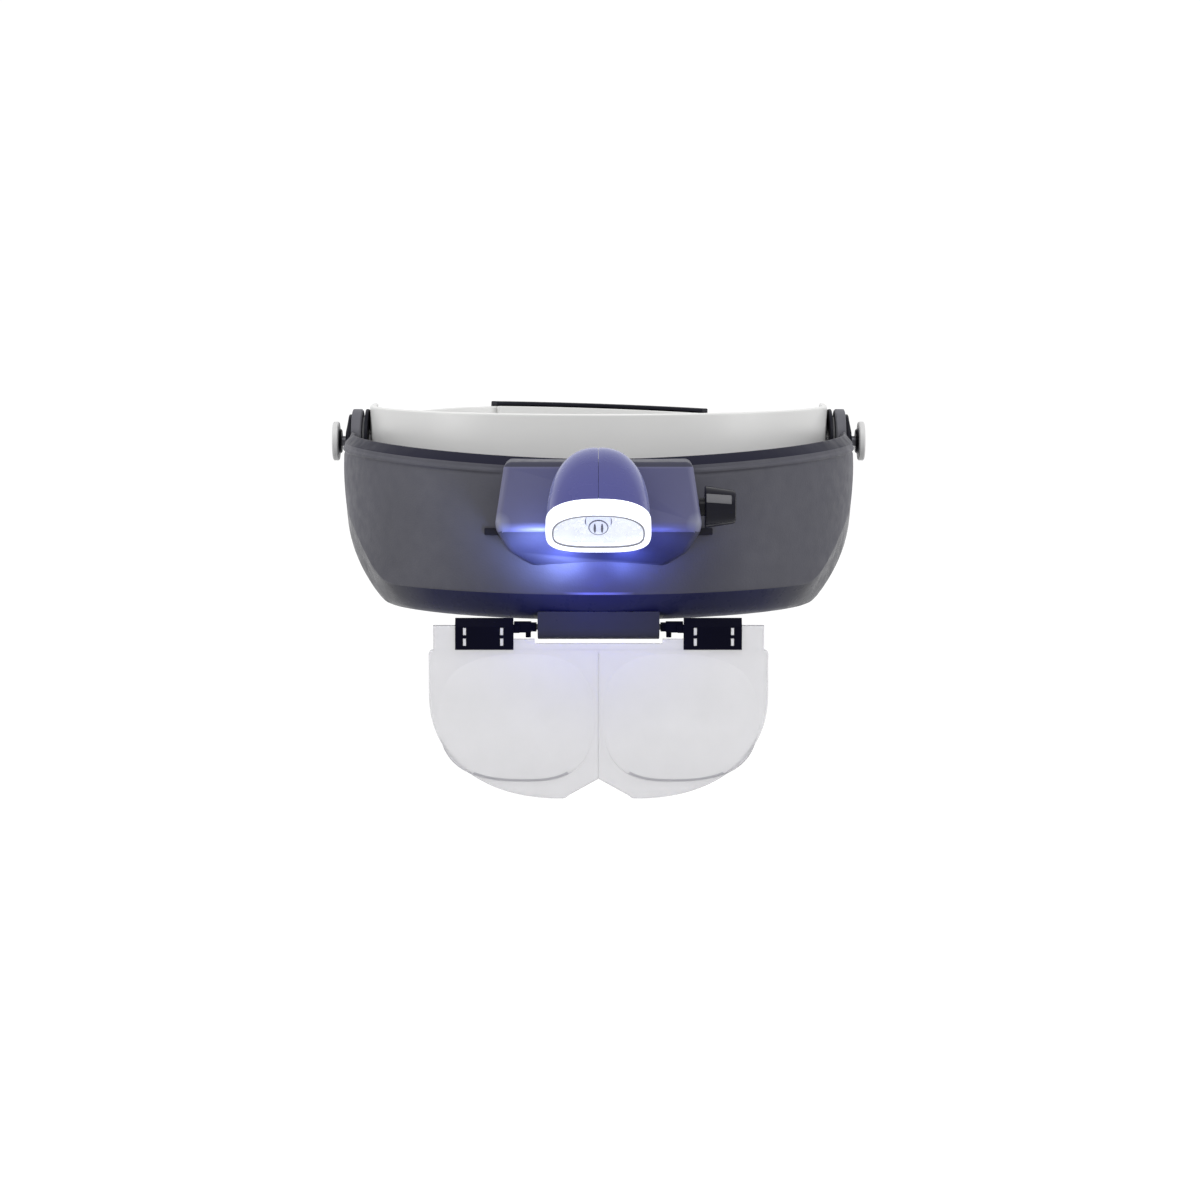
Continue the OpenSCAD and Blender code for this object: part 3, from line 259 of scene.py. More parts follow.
# Painted shade for the dark arcs at the lower edge of each optical zone, lighter at their very rim
LENS_ARC_PAINTED_SHADE = clear_plastic("lens arc", (0.80, 0.80, 0.83), 0.05, 0.62, (0.30, 0.30, 0.34))
LENS_ARC_EDGE_PAINTED_SHADE = clear_plastic("lens arc edge", (0.90, 0.90, 0.92), 0.04, 0.45, (0.58, 0.58, 0.62))
WINDOW = clear_plastic("window plastic", (0.98, 0.985, 1.0), 0.01, 0.05, (0.9, 0.92, 1.0), ior=1.2)
BEZEL = glowing("milky bezel plastic", (0.92, 0.94, 1.0), 0.3, (0.90, 0.93, 1.0), 0.75)
DIODE = glowing("diode resin", (0.55, 0.58, 0.70), 0.15, (0.80, 0.84, 1.0), 0.42)
DISH = glowing("lit reflector", (0.80, 0.82, 0.88), 0.25, (0.93, 0.95, 1.0), 0.30)
# Painted highlight along a short middle stretch of the visor's crease, fading to the wall's colour to the
# sides
CREASE_PAINTED_HIGHLIGHT = plastic("lit crease", (0.20, 0.21, 0.42), 0.35, depth=0.000004, vary=0.08, shine=0.3,
                 side_colour=(0.071, 0.071, 0.089), side_range=(0.004, 0.012))
# Painted shade: grey for a thin ring where the groove between bezel and window is shaded
GROOVE_SHADE = plastic("grey groove shade", (0.34, 0.34, 0.38), 0.5)
LEADS = plastic("diode leads", (0.05, 0.055, 0.11), 0.4, shine=0.2)
PAD = foam_cloth("pad cloth", (0.03, 0.03, 0.033))
THREAD = plastic("pad thread", (0.10, 0.10, 0.11), 0.7, grain=4000, depth=0.00004, shine=0.2)

CAD_MATERIALS = {
    WHITE: ("forehead_band", "left_strap", "right_strap", "rear_liner", "ratchet_pinion", "left_rack",
            "right_rack"),
    PAD: ("sweat_pad",),
    BLACK: ("left_pivot_bracket", "right_pivot_bracket", "rear_housing", "ratchet_knob", "battery_tray",
            "switch_body"),
    BRACKET: ("left_lens_bracket", "right_lens_bracket"),
    STEEL: ("bracket_rivets", "pivot_nuts", "rear_screws", "ratchet_screw", "contact_springs",
            "contact_plates", "box_screws", "lamp_pin"),
    WASHER: ("pivot_washers", "knob_washer"),
    VISOR: ("visor_shell",),
    BOX: ("battery_box",),
    WRAP: ("battery_cells",),
    HINGE: ("lamp_stalk",),
    GLOSS: ("switch_knob",),
    GREY_BAR_PLASTIC: ("switch_inlay",),
    LAMP: ("lamp_shell_left", "lamp_shell_right"),
    BEZEL: ("lamp_bezel",),
    WINDOW: ("lamp_window",),
    DISH: ("lamp_reflector",),
    DIODE: ("lamp_led",),
    BOARD: ("lamp_board",),
    LENS: ("lens_plate",),
    DARK_METAL: ("lens_axle", "left_thumb_screw", "right_thumb_screw"),
    LIGHT_GREY: ("left_thumb_knob", "right_thumb_knob"),
}
for mat, names in CAD_MATERIALS.items():
    for node_name in names:
        mesh = NODES[node_name].data
        mesh.materials.clear()
        mesh.materials.append(mat)


# Mesh helpers

ACROSS, ALONG, UP = Vector((1, 0, 0)), Vector((0, 1, 0)), Vector((0, 0, 1))


def mix(a, b, k):
    return a + (b - a) * k


def clamp01(k):
    return min(1.0, max(0.0, k))


def ease(k):
    k = clamp01(k)
    return k * k * (3 - 2 * k)


def smooth_max(a, b, k):
    return (a + b + math.hypot(a - b, k)) / 2


def signed_power(v, p):
    return math.copysign(abs(v) ** p, v)


# Half the angle at a corner that is rounded as a straight stretch
NEARLY_STRAIGHT = 1.553


def rounded(points, radii, steps=4):
    """The outline with each corner rounded by its radius; a radius of 0 keeps one point."""
    out = []
    n = len(points)
    for i, here in enumerate(points):
        r = radii[i]
        if r <= 0:
            out.append(tuple(here))
            continue
        here = Vector(here)
        a = Vector(points[i - 1]) - here
        b = Vector(points[(i + 1) % n]) - here
        la, lb = a.length, b.length
        a.normalize()
        b.normalize()
        half = math.acos(max(-1.0, min(1.0, a.dot(b)))) / 2
        if half < NEARLY_STRAIGHT:
            run = min(r / math.tan(half), la * 0.48, lb * 0.48)
        else:
            run = min(0.1, la * 0.4, lb * 0.4)
        start, end = here + a * run, here + b * run
        for k in range(steps + 1):
            t = k / steps
            out.append(tuple(start * (1 - t) ** 2 + here * 2 * t * (1 - t) + end * t ** 2))
    return out


def loft(bm, rings, close_ring=True, caps=True, round_again=False):
    """Skin through rings of equal length; round_again joins the last one to the first."""
    rows = [[bm.verts.new(p) for p in r] for r in rings]
    m = len(rows[0])
    for a, b in zip(rows, rows[1:] + rows[:round_again]):
        for j in range(m if close_ring else m - 1):
            k = (j + 1) % m
            bm.faces.new((a[j], a[k], b[k], b[j]))
    if caps and not round_again:
        bm.faces.new(rows[0])
        bm.faces.new(rows[-1])


def circle(centre, across, up, r, steps):
    """Ring of radius r about the centre, in the plane of two unit vectors."""
    return [centre + across * (r * math.cos(math.tau * k / steps)) + up * (r * math.sin(math.tau * k / steps))
            for k in range(steps)]


def spun(profile, steps, matrix):
    """Rings of a solid of revolution about local Z, from (radius, height) points."""
    return [[matrix @ p for p in circle(UP * z, ACROSS, ALONG, r, steps)] for r, z in profile]


def add_object(name, data):
    obj = bpy.data.objects.new(name, data)
    bpy.context.scene.collection.objects.link(obj)
    return obj


def raw(name, bm):
    """Object of a bmesh in millimetres, not yet a piece."""
    bmesh.ops.recalc_face_normals(bm, faces=bm.faces)
    bmesh.ops.scale(bm, vec=(MM, MM, MM), verts=bm.verts)
    mesh = bpy.data.meshes.new(name)
    bm.to_mesh(mesh)
    bm.free()
    return add_object(name, mesh)


def skin(name, rings, **options):
    """Object with a skin through the rings."""
    bm = bmesh.new()
    loft(bm, rings, **options)
    return raw(name, bm)


def apply_all(obj):
    """Turns an object's modifiers into its own mesh."""
    graph = bpy.context.evaluated_depsgraph_get()
    mesh = bpy.data.meshes.new_from_object(obj.evaluated_get(graph))
    obj.modifiers.clear()
    obj.data = mesh


def add_bevel(obj, width, steps=2, angle=40):
    mod = obj.modifiers.new("edges", "BEVEL")
    mod.width = width * MM
    mod.segments = steps
    mod.limit_method = "ANGLE"
    mod.angle_limit = math.radians(angle)


def even_normals(obj, weight=50):
    mod = obj.modifiers.new("normals", "WEIGHTED_NORMAL")
    mod.keep_sharp = True
    mod.weight = weight


def cut(obj, *others, operation="DIFFERENCE"):
    """Takes the others off the object, or joins them to it, and removes them."""
    for other in others:
        mod = obj.modifiers.new("cut", "BOOLEAN")
        mod.operation = operation
        mod.solver = "EXACT"
        mod.object = other
        apply_all(obj)
        bpy.data.objects.remove(other)
    return obj


def shade(obj, angle=35):
    """Smooth shading that keeps edges sharper than the angle."""
    mesh = obj.data
    mesh.polygons.foreach_set("use_smooth", [True] * len(mesh.polygons))
    mesh.set_sharp_from_angle(angle=math.radians(angle))


def piece(obj, body, mat, stands_for=(), angle=35, bevel=0.0, weighted=True):
    """Makes a piece of an object: its material, shading, body and the CAD nodes that it stands for."""
    obj.data.materials.clear()
    obj.data.materials.append(mat)
    if bevel:
        add_bevel(obj, bevel)
    shade(obj, angle)
    if weighted:
        even_normals(obj)
    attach(obj, body)
    if stands_for:
        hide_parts(*stands_for)
    return obj


def block(name, low, high):
    rings = [[(x, low[1], low[2]), (x, high[1], low[2]), (x, high[1], high[2]), (x, low[1], high[2])]
             for x in (low[0], high[0])]
    return skin(name, rings)


def side_plate(name, x0, x1, outline):
    """Outline in Y and Z, extruded along X."""
    return skin(name, [[(x, y, z) for y, z in outline] for x in (x0, x1)])


def rod(name, r, start, end, steps=48):
    """Cylinder from one point to another."""
    start, end = Vector(start), Vector(end)
    spin = (end - start).to_track_quat("Z", "Y").to_matrix().to_4x4()
    return skin(name, spun([(r, 0), (r, (end - start).length)], steps, Matrix.Translation(start) @ spin))


def tidy_cad(name, width):
    """Softens the edges of a CAD node that stays, with modifiers alone."""
    obj = NODES[name]
    weld = obj.modifiers.new("weld", "WELD")
    weld.merge_threshold = 0.004 * MM
    add_bevel(obj, width, angle=30)
    even_normals(obj, 80)


# Sizes of the frame that the pieces follow, in millimetres

PIVOT_Y = -24.0
EAR_R = 12.0
EAR_IN, EAR_OUT = 88.2, 92.0
VISOR_R = 91.9
VISOR_FRONT = -148.0
VISOR_CY = -56.1
VISOR_DROP = 54.5
WALL = 2.2
RIM_SIDE, RIM_FRONT, RIM_POWER = 4.8, 0.6, 1.6
LIP_D, LIP_H = 3.0, 3.0
BULGE = 0.5
BEVEL_H, BEVEL_D, BEVEL_POWER = 10.0, 11.0, 3.6
CHEEK, CHEEK_SHARE, SHARE_RUN = 69.0, 0.42, (1.3, 0.93)
LENS_Y, LENS_Z = -139.2, -56.6
EAR_HOLE = 2.0
BLOCK_HALF, BLOCK_R, BLOCK_BACK, BLOCK_TOP, BLOCK_SOFT = 20.5, 4.1, 5.5, 5.6, 0.35
CREASE_HALF = 13


# Visor: the same section as the frame's, with its corners rounded

def visor_levels(x, y):
    """Heights of the wall's rim, crease and lower edge, and the bevel's share of its depth."""
    run = max(0.0, (PIVOT_Y - y) / CHEEK)
    k = max(0.06, clamp01(run) ** BEVEL_POWER)
    top = RIM_FRONT + (RIM_SIDE - RIM_FRONT) * min(1.0, abs(x) / VISOR_R) ** RIM_POWER
    low = smooth_max(-VISOR_DROP, -(EAR_R - 1) - (VISOR_DROP - EAR_R + 1) * run ** 1.5, 2)
    cheek = ease((SHARE_RUN[0] - run) / (SHARE_RUN[0] - SHARE_RUN[1]))
    crease = low + mix(BEVEL_H * k, (top - LIP_H - low) * CHEEK_SHARE, cheek)
    return top, crease, low, k


def visor_section(x, y):
    top, crease, low, k = visor_levels(x, y)
    inset = BEVEL_D * k
    lip = LIP_D * clamp01((PIVOT_Y - EAR_R - y) / 20)
    wall_top = top - LIP_H
    bead = lip / LIP_D * clamp01((abs(x) - 31) / 4)
    outer = [(-lip, top), (0, wall_top), (0, wall_top - 1.2), (0.55 * bead, wall_top - 1.9),
             (0.5 * bead, wall_top - 2.6), (-0.3 * bead, wall_top - 3.3), (0, wall_top - 4.3), (0, crease)]
    outer += [(-inset * t, crease - (crease - low) * math.sin(math.pi / 2 * t)) for t in (0.2, 0.4, 0.6, 0.8)]
    inner_z = crease + WALL * 0.3
    inner = [(-inset, low), (-inset - WALL, low)]
    inner += [(-inset * t - WALL, crease - (crease - low) * math.sin(math.pi / 2 * t) + WALL * 0.3)
              for t in (0.75, 0.5, 0.25)]
    inner += [(-WALL, inner_z), (-WALL, wall_top - WALL * 0.4), (-lip - WALL * 0.75, top - WALL * 0.75)]
    radii = [0.6, 0.5, 0.3, 0.35, 0.3, 0.5, 0.3, 1.2 * k + 0.2, 0, 0, 0, 0, 0.7 * k + 0.1, 0.5, 0, 0, 0]
    radii += [1.0, 1.0, 0.5]
    points = rounded(outer + inner, radii)
    out = []
    for i, (d, z) in enumerate(points):
        out.append((d, z))
        d2, z2 = points[(i + 1) % len(points)]
        if abs(z2 - z) > 0.4 * (wall_top - crease):
            out += [(mix(d, d2, t / 8), mix(z, z2, t / 8)) for t in range(1, 8)]
    swell = BULGE * max(0.1, clamp01((PIVOT_Y - EAR_R - y) / 20))
    swollen = []
    for d, z in out:
        t = clamp01((z - crease) / (wall_top - crease))
        swollen.append((d + 4 * swell * t * (1 - t), z))
    return swollen


def visor_outline():
    """Plan points of the visor with outward normals, from the left ear round to the right ear."""
    side = [(VISOR_R, mix(PIVOT_Y - 3, VISOR_CY, k / 8), 1, 0) for k in range(8)]
    arc = []
    for k in range(97):
        a = math.pi * k / 96
        c, s = math.cos(a), math.sin(a)
        arc.append((VISOR_R * c, VISOR_CY - VISOR_R * s, c, -s))
    return side + arc + [(-x, y, -nx, ny) for x, y, nx, ny in reversed(side)]


def add_ear(bm, side):
    spin = Matrix.Translation((0, PIVOT_Y, 0)) @ Matrix.Rotation(side * math.pi / 2, 4, "Y")
    profile = [(EAR_HOLE, EAR_IN), (EAR_R - 0.5, EAR_IN), (EAR_R, EAR_IN + 0.5), (EAR_R, EAR_OUT - 0.5),
               (EAR_R - 0.15, EAR_OUT - 0.15), (EAR_R - 0.5, EAR_OUT), (EAR_HOLE, EAR_OUT)]
    loft(bm, spun(profile, 64, spin))


def add_hinge_block(bm):
    outline = [(-BLOCK_R, BLOCK_TOP), (BLOCK_BACK, BLOCK_TOP), (BLOCK_BACK, -BLOCK_R)]
    outline += [(BLOCK_R * math.cos(math.radians(a)), BLOCK_R * math.sin(math.radians(a)))
                for a in range(270, 179, -9)]
    ends = [(BLOCK_HALF, BLOCK_SOFT), (BLOCK_HALF - BLOCK_SOFT * 0.3, BLOCK_SOFT * 0.3),
            (BLOCK_HALF - BLOCK_SOFT, 0)]
    rings = []
    for x, inset in [(-x, inset) for x, inset in ends] + ends[::-1]:
        rings.append([(x, LENS_Y + y * (1 - inset / 5), LENS_Z + z * (1 - inset / 5)) for y, z in outline])
    loft(bm, rings)


def make_visor():
    bm = bmesh.new()
    loft(bm, [[(x + nx * d, y + ny * d, z) for d, z in visor_section(x, y)]
              for x, y, nx, ny in visor_outline()])
    add_ear(bm, -1)
    add_ear(bm, 1)
    add_hinge_block(bm)
    visor = raw("visor_skin", bm)
    piece(visor, "visor", VISOR, ("visor_shell",), angle=30, weighted=False)
    painted_light_zones(visor)


def painted_light_zones(visor):
    """The lip, the bevel under the crease and the hinge block are polished and darker as painted shade, a
    short middle stretch of the crease carries a painted highlight, and the wall is textured.
    """
    mesh = visor.data
    for mat in (VISOR_SMOOTH_PAINTED_SHADE, RIM_PAINTED_SHADE, BLOCK_PAINTED_SHADE, CREASE_PAINTED_HIGHLIGHT):
        mesh.materials.append(mat)
    for face in mesh.polygons:
        x, y, z = face.center / MM
        top, crease, low, k = visor_levels(x, y)
        if z < low + 1.5 and abs(x) < BLOCK_HALF + 0.1 and y < LENS_Y + 6:
            face.material_index = 3
        elif y < PIVOT_Y - EAR_R - 2 and z > top - LIP_H - 0.1:
            face.material_index = 2
        elif abs(x) < CREASE_HALF and abs(z - crease) < 0.75 and y < LENS_Y:
            face.material_index = 4
        elif z < crease - 0.7 * k:
            face.material_index = 1


make_visor()


# Battery box

BOX_TOP = 0.5
BOX_FRONT = -162.85
BOX_LEAN = 5.0
BOX_FACE, BOX_CHIN = 21.5, 14.5
BOX_HALF_TOP, BOX_HALF = 30.8, 34.0
CELL_Y = -155.4
SWITCH_Z = -14.8
HINGE_Y, HINGE_Z = -168.85, -3.0
STALK_HALF = 3.4
STALK_R = 3.0
BOX_SCREW_X, BOX_SCREW_Y, BOX_SCREW_Z = 24.0, -143.2, -30.0
TAB_HALF, TAB_LOW, TAB_HIGH = 39.3, -25.4, -22.8
SWITCH_BORE, PIN_BORE = 3.06, 1.26


def box_solid(name, inset, back):
    """Box with a leaning face and a sloping chin, drawn in by inset."""
    chin_z = BOX_TOP - BOX_FACE
    face_y, face_z = BOX_FRONT - BOX_LEAN + inset, chin_z + inset / 2
    foot_y, foot_z = VISOR_FRONT + 2 + inset, chin_z - BOX_CHIN + inset
    bend_z = chin_z - BOX_CHIN * 0.6
    bend_y = mix(face_y, foot_y, (bend_z - face_z) / (foot_z - face_z))
    levels = [(BOX_HALF_TOP - inset, BOX_FRONT + inset, BOX_TOP - inset), (BOX_HALF - inset, face_y, face_z),
              (BOX_HALF - 4 - inset, bend_y, bend_z), (BOX_HALF - 12 - inset, foot_y, foot_z)]
    bm = bmesh.new()
    loft(bm, [[(-x, front, z), (x, front, z), (x, back, z), (-x, back, z)] for x, front, z in levels])
    bmesh.ops.dissolve_limit(bm, angle_limit=0.01, verts=bm.verts, edges=bm.edges)
    obj = raw(name, bm)
    add_bevel(obj, max(1.2, 2.2 - inset), 6, 20)
    apply_all(obj)
    return obj


STALK_SIDE = [(HINGE_Y, HINGE_Z - STALK_R), (BOX_FRONT + 2, HINGE_Z - STALK_R - 1.8),
              (BOX_FRONT + 2, HINGE_Z - 0.2), (HINGE_Y, HINGE_Z + STALK_R)]


def make_box():
    box = box_solid("battery_case", 0, -80)
    cut(box, box_solid("hollow", 1.6, -70),
        rod("cylinder", VISOR_R + BULGE + 0.1, (0, VISOR_CY, -60), (0, VISOR_CY, 20), 192),
        block("slot", (-TAB_HALF, VISOR_FRONT - 1.95, TAB_LOW), (TAB_HALF, -120, TAB_HIGH)),
        rod("bore", SWITCH_BORE, (28, CELL_Y, SWITCH_Z), (36, CELL_Y, SWITCH_Z)),
        side_plate("stalk_cut", -STALK_HALF, STALK_HALF, STALK_SIDE))
    for side in (-1, 1):
        place = Matrix.Translation((side * BOX_SCREW_X, BOX_SCREW_Y, BOX_SCREW_Z))
        rings = spun([(1.2, 0), (3, 0), (3, 5), (1.2, 5)], 40, place @ Matrix.Rotation(math.pi / 2, 4, "X"))
        cut(box, skin("boss", rings), operation="UNION")
    piece(box, "visor", BOX, ("battery_box",), angle=40)
    box.data.materials.append(BOX_PAINTED_SHADE)
    # Painted shade: the chin's downward faces and the top faces take the darker copy of the box plastic
    for face in box.data.polygons:
        chin = face.center.z < (BOX_TOP - BOX_FACE - 1.2) * MM and face.normal.z < -0.2
        if chin or face.normal.z > 0.45:
            face.material_index = 1


make_box()


# Switch: a turned knob with a grey bar that follows its cone

SWITCH_X, SWITCH_LEN = 35.0, 10.3
SWITCH_R0, SWITCH_R1 = 7.0, 5.55
BAR_TURN = math.radians(-30)
RIBS, RIB_FROM, RIB_SPAN = 16, 135, 150


def switch_radius(x):
    return mix(SWITCH_R0, SWITCH_R1, (x - SWITCH_X) / (SWITCH_LEN - 0.8))


def bar_solid(name, x0, x1, half, low, high):
    """Bar on the knob's cone from x0 to x1, half wide each way, between two depths from its surface."""
    rings = []
    for x in (x0, x1):
        r = switch_radius(x)
        arc = [BAR_TURN + mix(-half, half, k / 8) / r for k in range(9)]
        way = [(a, r + high) for a in arc] + [(a, r + low) for a in reversed(arc)]
        rings.append([(x, CELL_Y - far * math.cos(a), SWITCH_Z - far * math.sin(a)) for a, far in way])
    return skin(name, rings)


def rib_groove(turn):
    """Narrow groove along the knob's cone, at the angle turn in degrees."""
    rings = []
    for x in (SWITCH_X + 1, SWITCH_X + SWITCH_LEN - 1.2):
        ring = []
        for wide, high in ((-1.7, 0.2), (-1.2, -0.25), (1.2, -0.25), (1.7, 0.2)):
            a, far = math.radians(turn + wide), switch_radius(x) + high
            ring.append((x, CELL_Y - far * math.cos(a), SWITCH_Z + far * math.sin(a)))
        rings.append(ring)
    return skin("rib", rings)


def make_switch():
    spin = Matrix.Translation((0, CELL_Y, SWITCH_Z)) @ Matrix.Rotation(math.pi / 2, 4, "Y")
    end = SWITCH_X + SWITCH_LEN
    profile = [(3, 33.2), (3, SWITCH_X), (SWITCH_R0 - 0.4, SWITCH_X), (SWITCH_R0, SWITCH_X + 0.4),
               (SWITCH_R1, end - 0.9), (SWITCH_R1 - 0.25, end - 0.3), (SWITCH_R1 - 0.9, end),
               (SWITCH_R1 - 2.2, end), (SWITCH_R1 - 2.6, end - 0.5)]
    knob = skin("switch_grip", spun(profile, 96, spin))
    cut(knob, bar_solid("slot", SWITCH_X + 0.35, end - 1.5, 1.7, -1.1, 1.0),
        rod("bore", PIN_BORE, (33, CELL_Y, SWITCH_Z), (SWITCH_X - 0.3, CELL_Y, SWITCH_Z)),
        *[rib_groove(RIB_FROM + RIB_SPAN * k / (RIBS - 1)) for k in range(RIBS)])
    piece(knob, "switch", GLOSS, ("switch_knob",), bevel=0.12)
    bar = bar_solid("switch_bar", SWITCH_X + 0.4, end - 1.55, 1.65, -1.05, 0.05)
    piece(bar, "switch", GREY_BAR_PLASTIC, ("switch_inlay",), bevel=0.15)


make_switch()


# Lamp

LAMP_W, LAMP_TOP, LAMP_LOW = 33.0, 10.0, 8.0
DOME_LEN, DOME_POWER = 32.0, 2.3
ARCH_POWER, FLOOR_POWER = 2.4, 3.2
BEZEL_LEN, BEZEL_WALL = 6.2, 1.6
DIODE_R, DIODE_Z, DIODE_BODY = 4.0, -0.3, 5.1
DIODE_POST, DIODE_POST_LOW, DIODE_POST_HIGH, DIODE_CUP = 1.15, -1.1, 2.1, 3.0
SEAM_ROLL = 0.45
TILT_UP, TILT_DOWN, TILT_GAP = math.radians(10), math.radians(20), 0.7
LAMP_PLACE = (Matrix.Translation((0, HINGE_Y, HINGE_Z)) @ Matrix.Rotation(math.radians(130), 4, "X")
              @ Matrix.Translation((0, 1.7, 23.8)))


def lamp_point(a, grow, k=1.0):
    """Point of the lamp's section at the angle a in degrees."""
    c, s = math.cos(math.radians(a)), math.sin(math.radians(a))
    p, h = (ARCH_POWER, LAMP_TOP) if s >= 0 else (FLOOR_POWER, LAMP_LOW)
    return (LAMP_W / 2 + grow) * k * signed_power(c, 2 / p), (h + grow) * k * signed_power(s, 2 / p)


def lamp_ring(grow, z, k=1.0, steps=96):
    return [LAMP_PLACE @ Vector((*lamp_point(360 * (i + 0.5) / steps, grow, k), z)) for i in range(steps)]


def dome_scale(t):
    return max(0.0, 1 - t ** DOME_POWER) ** (1 / DOME_POWER)


def lamp_hollow(name, grow, z0, z1, k):
    return skin(name, [lamp_ring(grow, z, k, 64) for z in (z0, z1)])


def polar(r, a):
    return Vector((r * math.cos(a), r * math.sin(a)))


def box_clearance():
    """Outline in Y and Z, from the hinge, of what the box takes up as the lamp tilts both ways."""
    lean = math.atan2(BOX_LEAN, BOX_FACE)
    top_gap = BOX_TOP - HINGE_Z + TILT_GAP
    face_r = (BOX_FRONT - HINGE_Y) * math.cos(lean) - (BOX_TOP - HINGE_Z) * math.sin(lean) - TILT_GAP
    edge_y = (face_r + top_gap * math.sin(lean)) / math.cos(lean)
    far = DOME_LEN * 2
    corner = polar(math.hypot(edge_y, top_gap), math.atan2(top_gap, edge_y) + TILT_UP)
    low_a = -lean - TILT_DOWN
    outline = [corner] + [polar(face_r, mix(TILT_UP - lean, low_a, k / 6)) for k in range(7)]
    return outline + [polar(face_r, low_a) + polar(far, low_a - math.pi / 2), Vector((far, -far)),
                      Vector((far, far)), corner + polar(far, TILT_UP)]


def hinge_plate(name, half, outline):
    return side_plate(name, -half, half, [(HINGE_Y + y, HINGE_Z + z) for y, z in outline])


def lamp_half(side):
    """Half of the smooth dome, with a rolled edge along the seam."""
    steps = 40
    rings = []
    for i in range(34, -1, -1):
        t = math.sin(math.radians(88.6 * i / 34))
        k = dome_scale(t)
        ring = []
        for j in range(steps + 1):
            x, y = lamp_point(90 - 180 * j / steps, 0, k)
            x = max(x, 0.06)
            if x < SEAM_ROLL:
                drop = SEAM_ROLL - math.sqrt(max(0, SEAM_ROLL ** 2 - (SEAM_ROLL - x) ** 2))
                y -= math.copysign(drop, y) * min(1, k * 3)
            ring.append(LAMP_PLACE @ Vector((side * x, y, -DOME_LEN * t)))
        rings.append(ring + [ring[-1].lerp(ring[0], share) for share in (0.3, 0.7)])
    half = skin("lamp_half", rings)
    slot = [(-STALK_R - 1, -STALK_R - 1), (0, -STALK_R - 2), (12, -15), (12, 12), (0, STALK_R + 1),
            (-STALK_R - 1, STALK_R + 1)]
    return cut(half, lamp_hollow("hollow", -1.5, 2, -11, 0.93), lamp_hollow("hollow", -1.5, -10, -20, 0.78),
               hinge_plate("clear", 40, box_clearance()), hinge_plate("slot", STALK_HALF + 0.4, slot),
               rod("pin", PIN_BORE, (-9, HINGE_Y, HINGE_Z), (9, HINGE_Y, HINGE_Z)))


for side, name in ((1, "left"), (-1, "right")):
    half = piece(lamp_half(side), "lamp", LAMP, ("lamp_shell_" + name,), angle=38)
    half.name = "lamp_dome_" + name


def lamp_frame(name, profile, mat, stands_for=()):
    """Closed frame that follows the lamp's section, from (growth, height) points of its own section."""
    frame_skin = skin(name, [lamp_ring(grow, z) for grow, z in profile], round_again=True)
    piece(frame_skin, "lamp", mat, stands_for, angle=50)


def make_bezel():
    """Milky ring with rounded lips and a step that holds the window."""
    z = BEZEL_LEN
    lamp_frame("bezel_ring", [(-0.6, 0.1), (0.15, 0.1), (0.3, 0.3), (0.3, z - 1.4), (0.22, z - 0.8),
                              (0.05, z - 0.35), (-0.25, z - 0.1), (-0.6, z), (-1.0, z - 0.02),
                              (-1.35, z - 0.2), (-1.55, z - 0.5), (-BEZEL_WALL, z - 0.9),
                              (-BEZEL_WALL, 0.1), (-1.1, 0.1)],
               BEZEL, ("lamp_bezel",))


def make_window():
    """Window that swells slightly, with a rounded rim."""
    low, high = BEZEL_LEN - 2.0, BEZEL_LEN - 0.8
    levels = [(0.3, low, 0.9), (0.05, low, 1), (0.05, high - 0.35, 1), (0.2, high - 0.1, 1), (0.55, high, 1)]
    levels += [(0.55, high + 0.55 * (1 - k * k), k) for k in (0.93, 0.8, 0.6, 0.35, 0.1)]
    window = skin("window_pane", [lamp_ring(-BEZEL_WALL - inset, z, k) for inset, z, k in levels])
    piece(window, "lamp", WINDOW, ("lamp_window",), angle=50)


def make_dish():
    """Lit dish round the diode, which meets the bezel's inner wall under the window."""
    seat, thick = BEZEL_LEN - 3.4, 0.7
    steps = 96

    def dish_ring(share, drop):
        ring = []
        for i in range(steps):
            a = 360 * (i + 0.5) / steps
            inner = polar(DIODE_R + 0.35, math.radians(a))
            x, y = Vector(lamp_point(a, -BEZEL_WALL - 0.1)).lerp(inner, share)
            ring.append(LAMP_PLACE @ Vector((x, y, seat - drop)))
        return ring

    slope = [(0, 0), (0.08, 0.05), (0.3, 0.6), (0.55, 1.3), (0.8, 2.0), (0.95, 2.4), (1, 2.6)]
    slope += [(share, drop + thick) for share, drop in reversed(slope)]
    dish = skin("reflector_dish", [dish_ring(share, drop) for share, drop in slope], round_again=True)
    piece(dish, "lamp", DISH, ("lamp_reflector",), angle=50)


def on_dome(x, y):
    """Point of the diode's dome over the place x, y."""
    return Vector((x, y, DIODE_Z + math.sqrt(DIODE_R ** 2 - x * x - y * y)))


def make_diode():
    """Resin dome on its collar."""
    low = DIODE_Z - DIODE_BODY
    profile = [(DIODE_R + 0.45, low - 0.85), (DIODE_R + 0.5, low - 0.7), (DIODE_R + 0.5, low),
               (DIODE_R, low + 0.1)]
    for a in (0, 12, 24, 36, 48, 60, 72, 84, 89):
        r, z = polar(DIODE_R, math.radians(a))
        profile.append((r, DIODE_Z + z))
    diode = skin("diode_dome", spun(profile, 64, LAMP_PLACE))
    piece(diode, "lamp", DIODE, ("lamp_led",), angle=40)


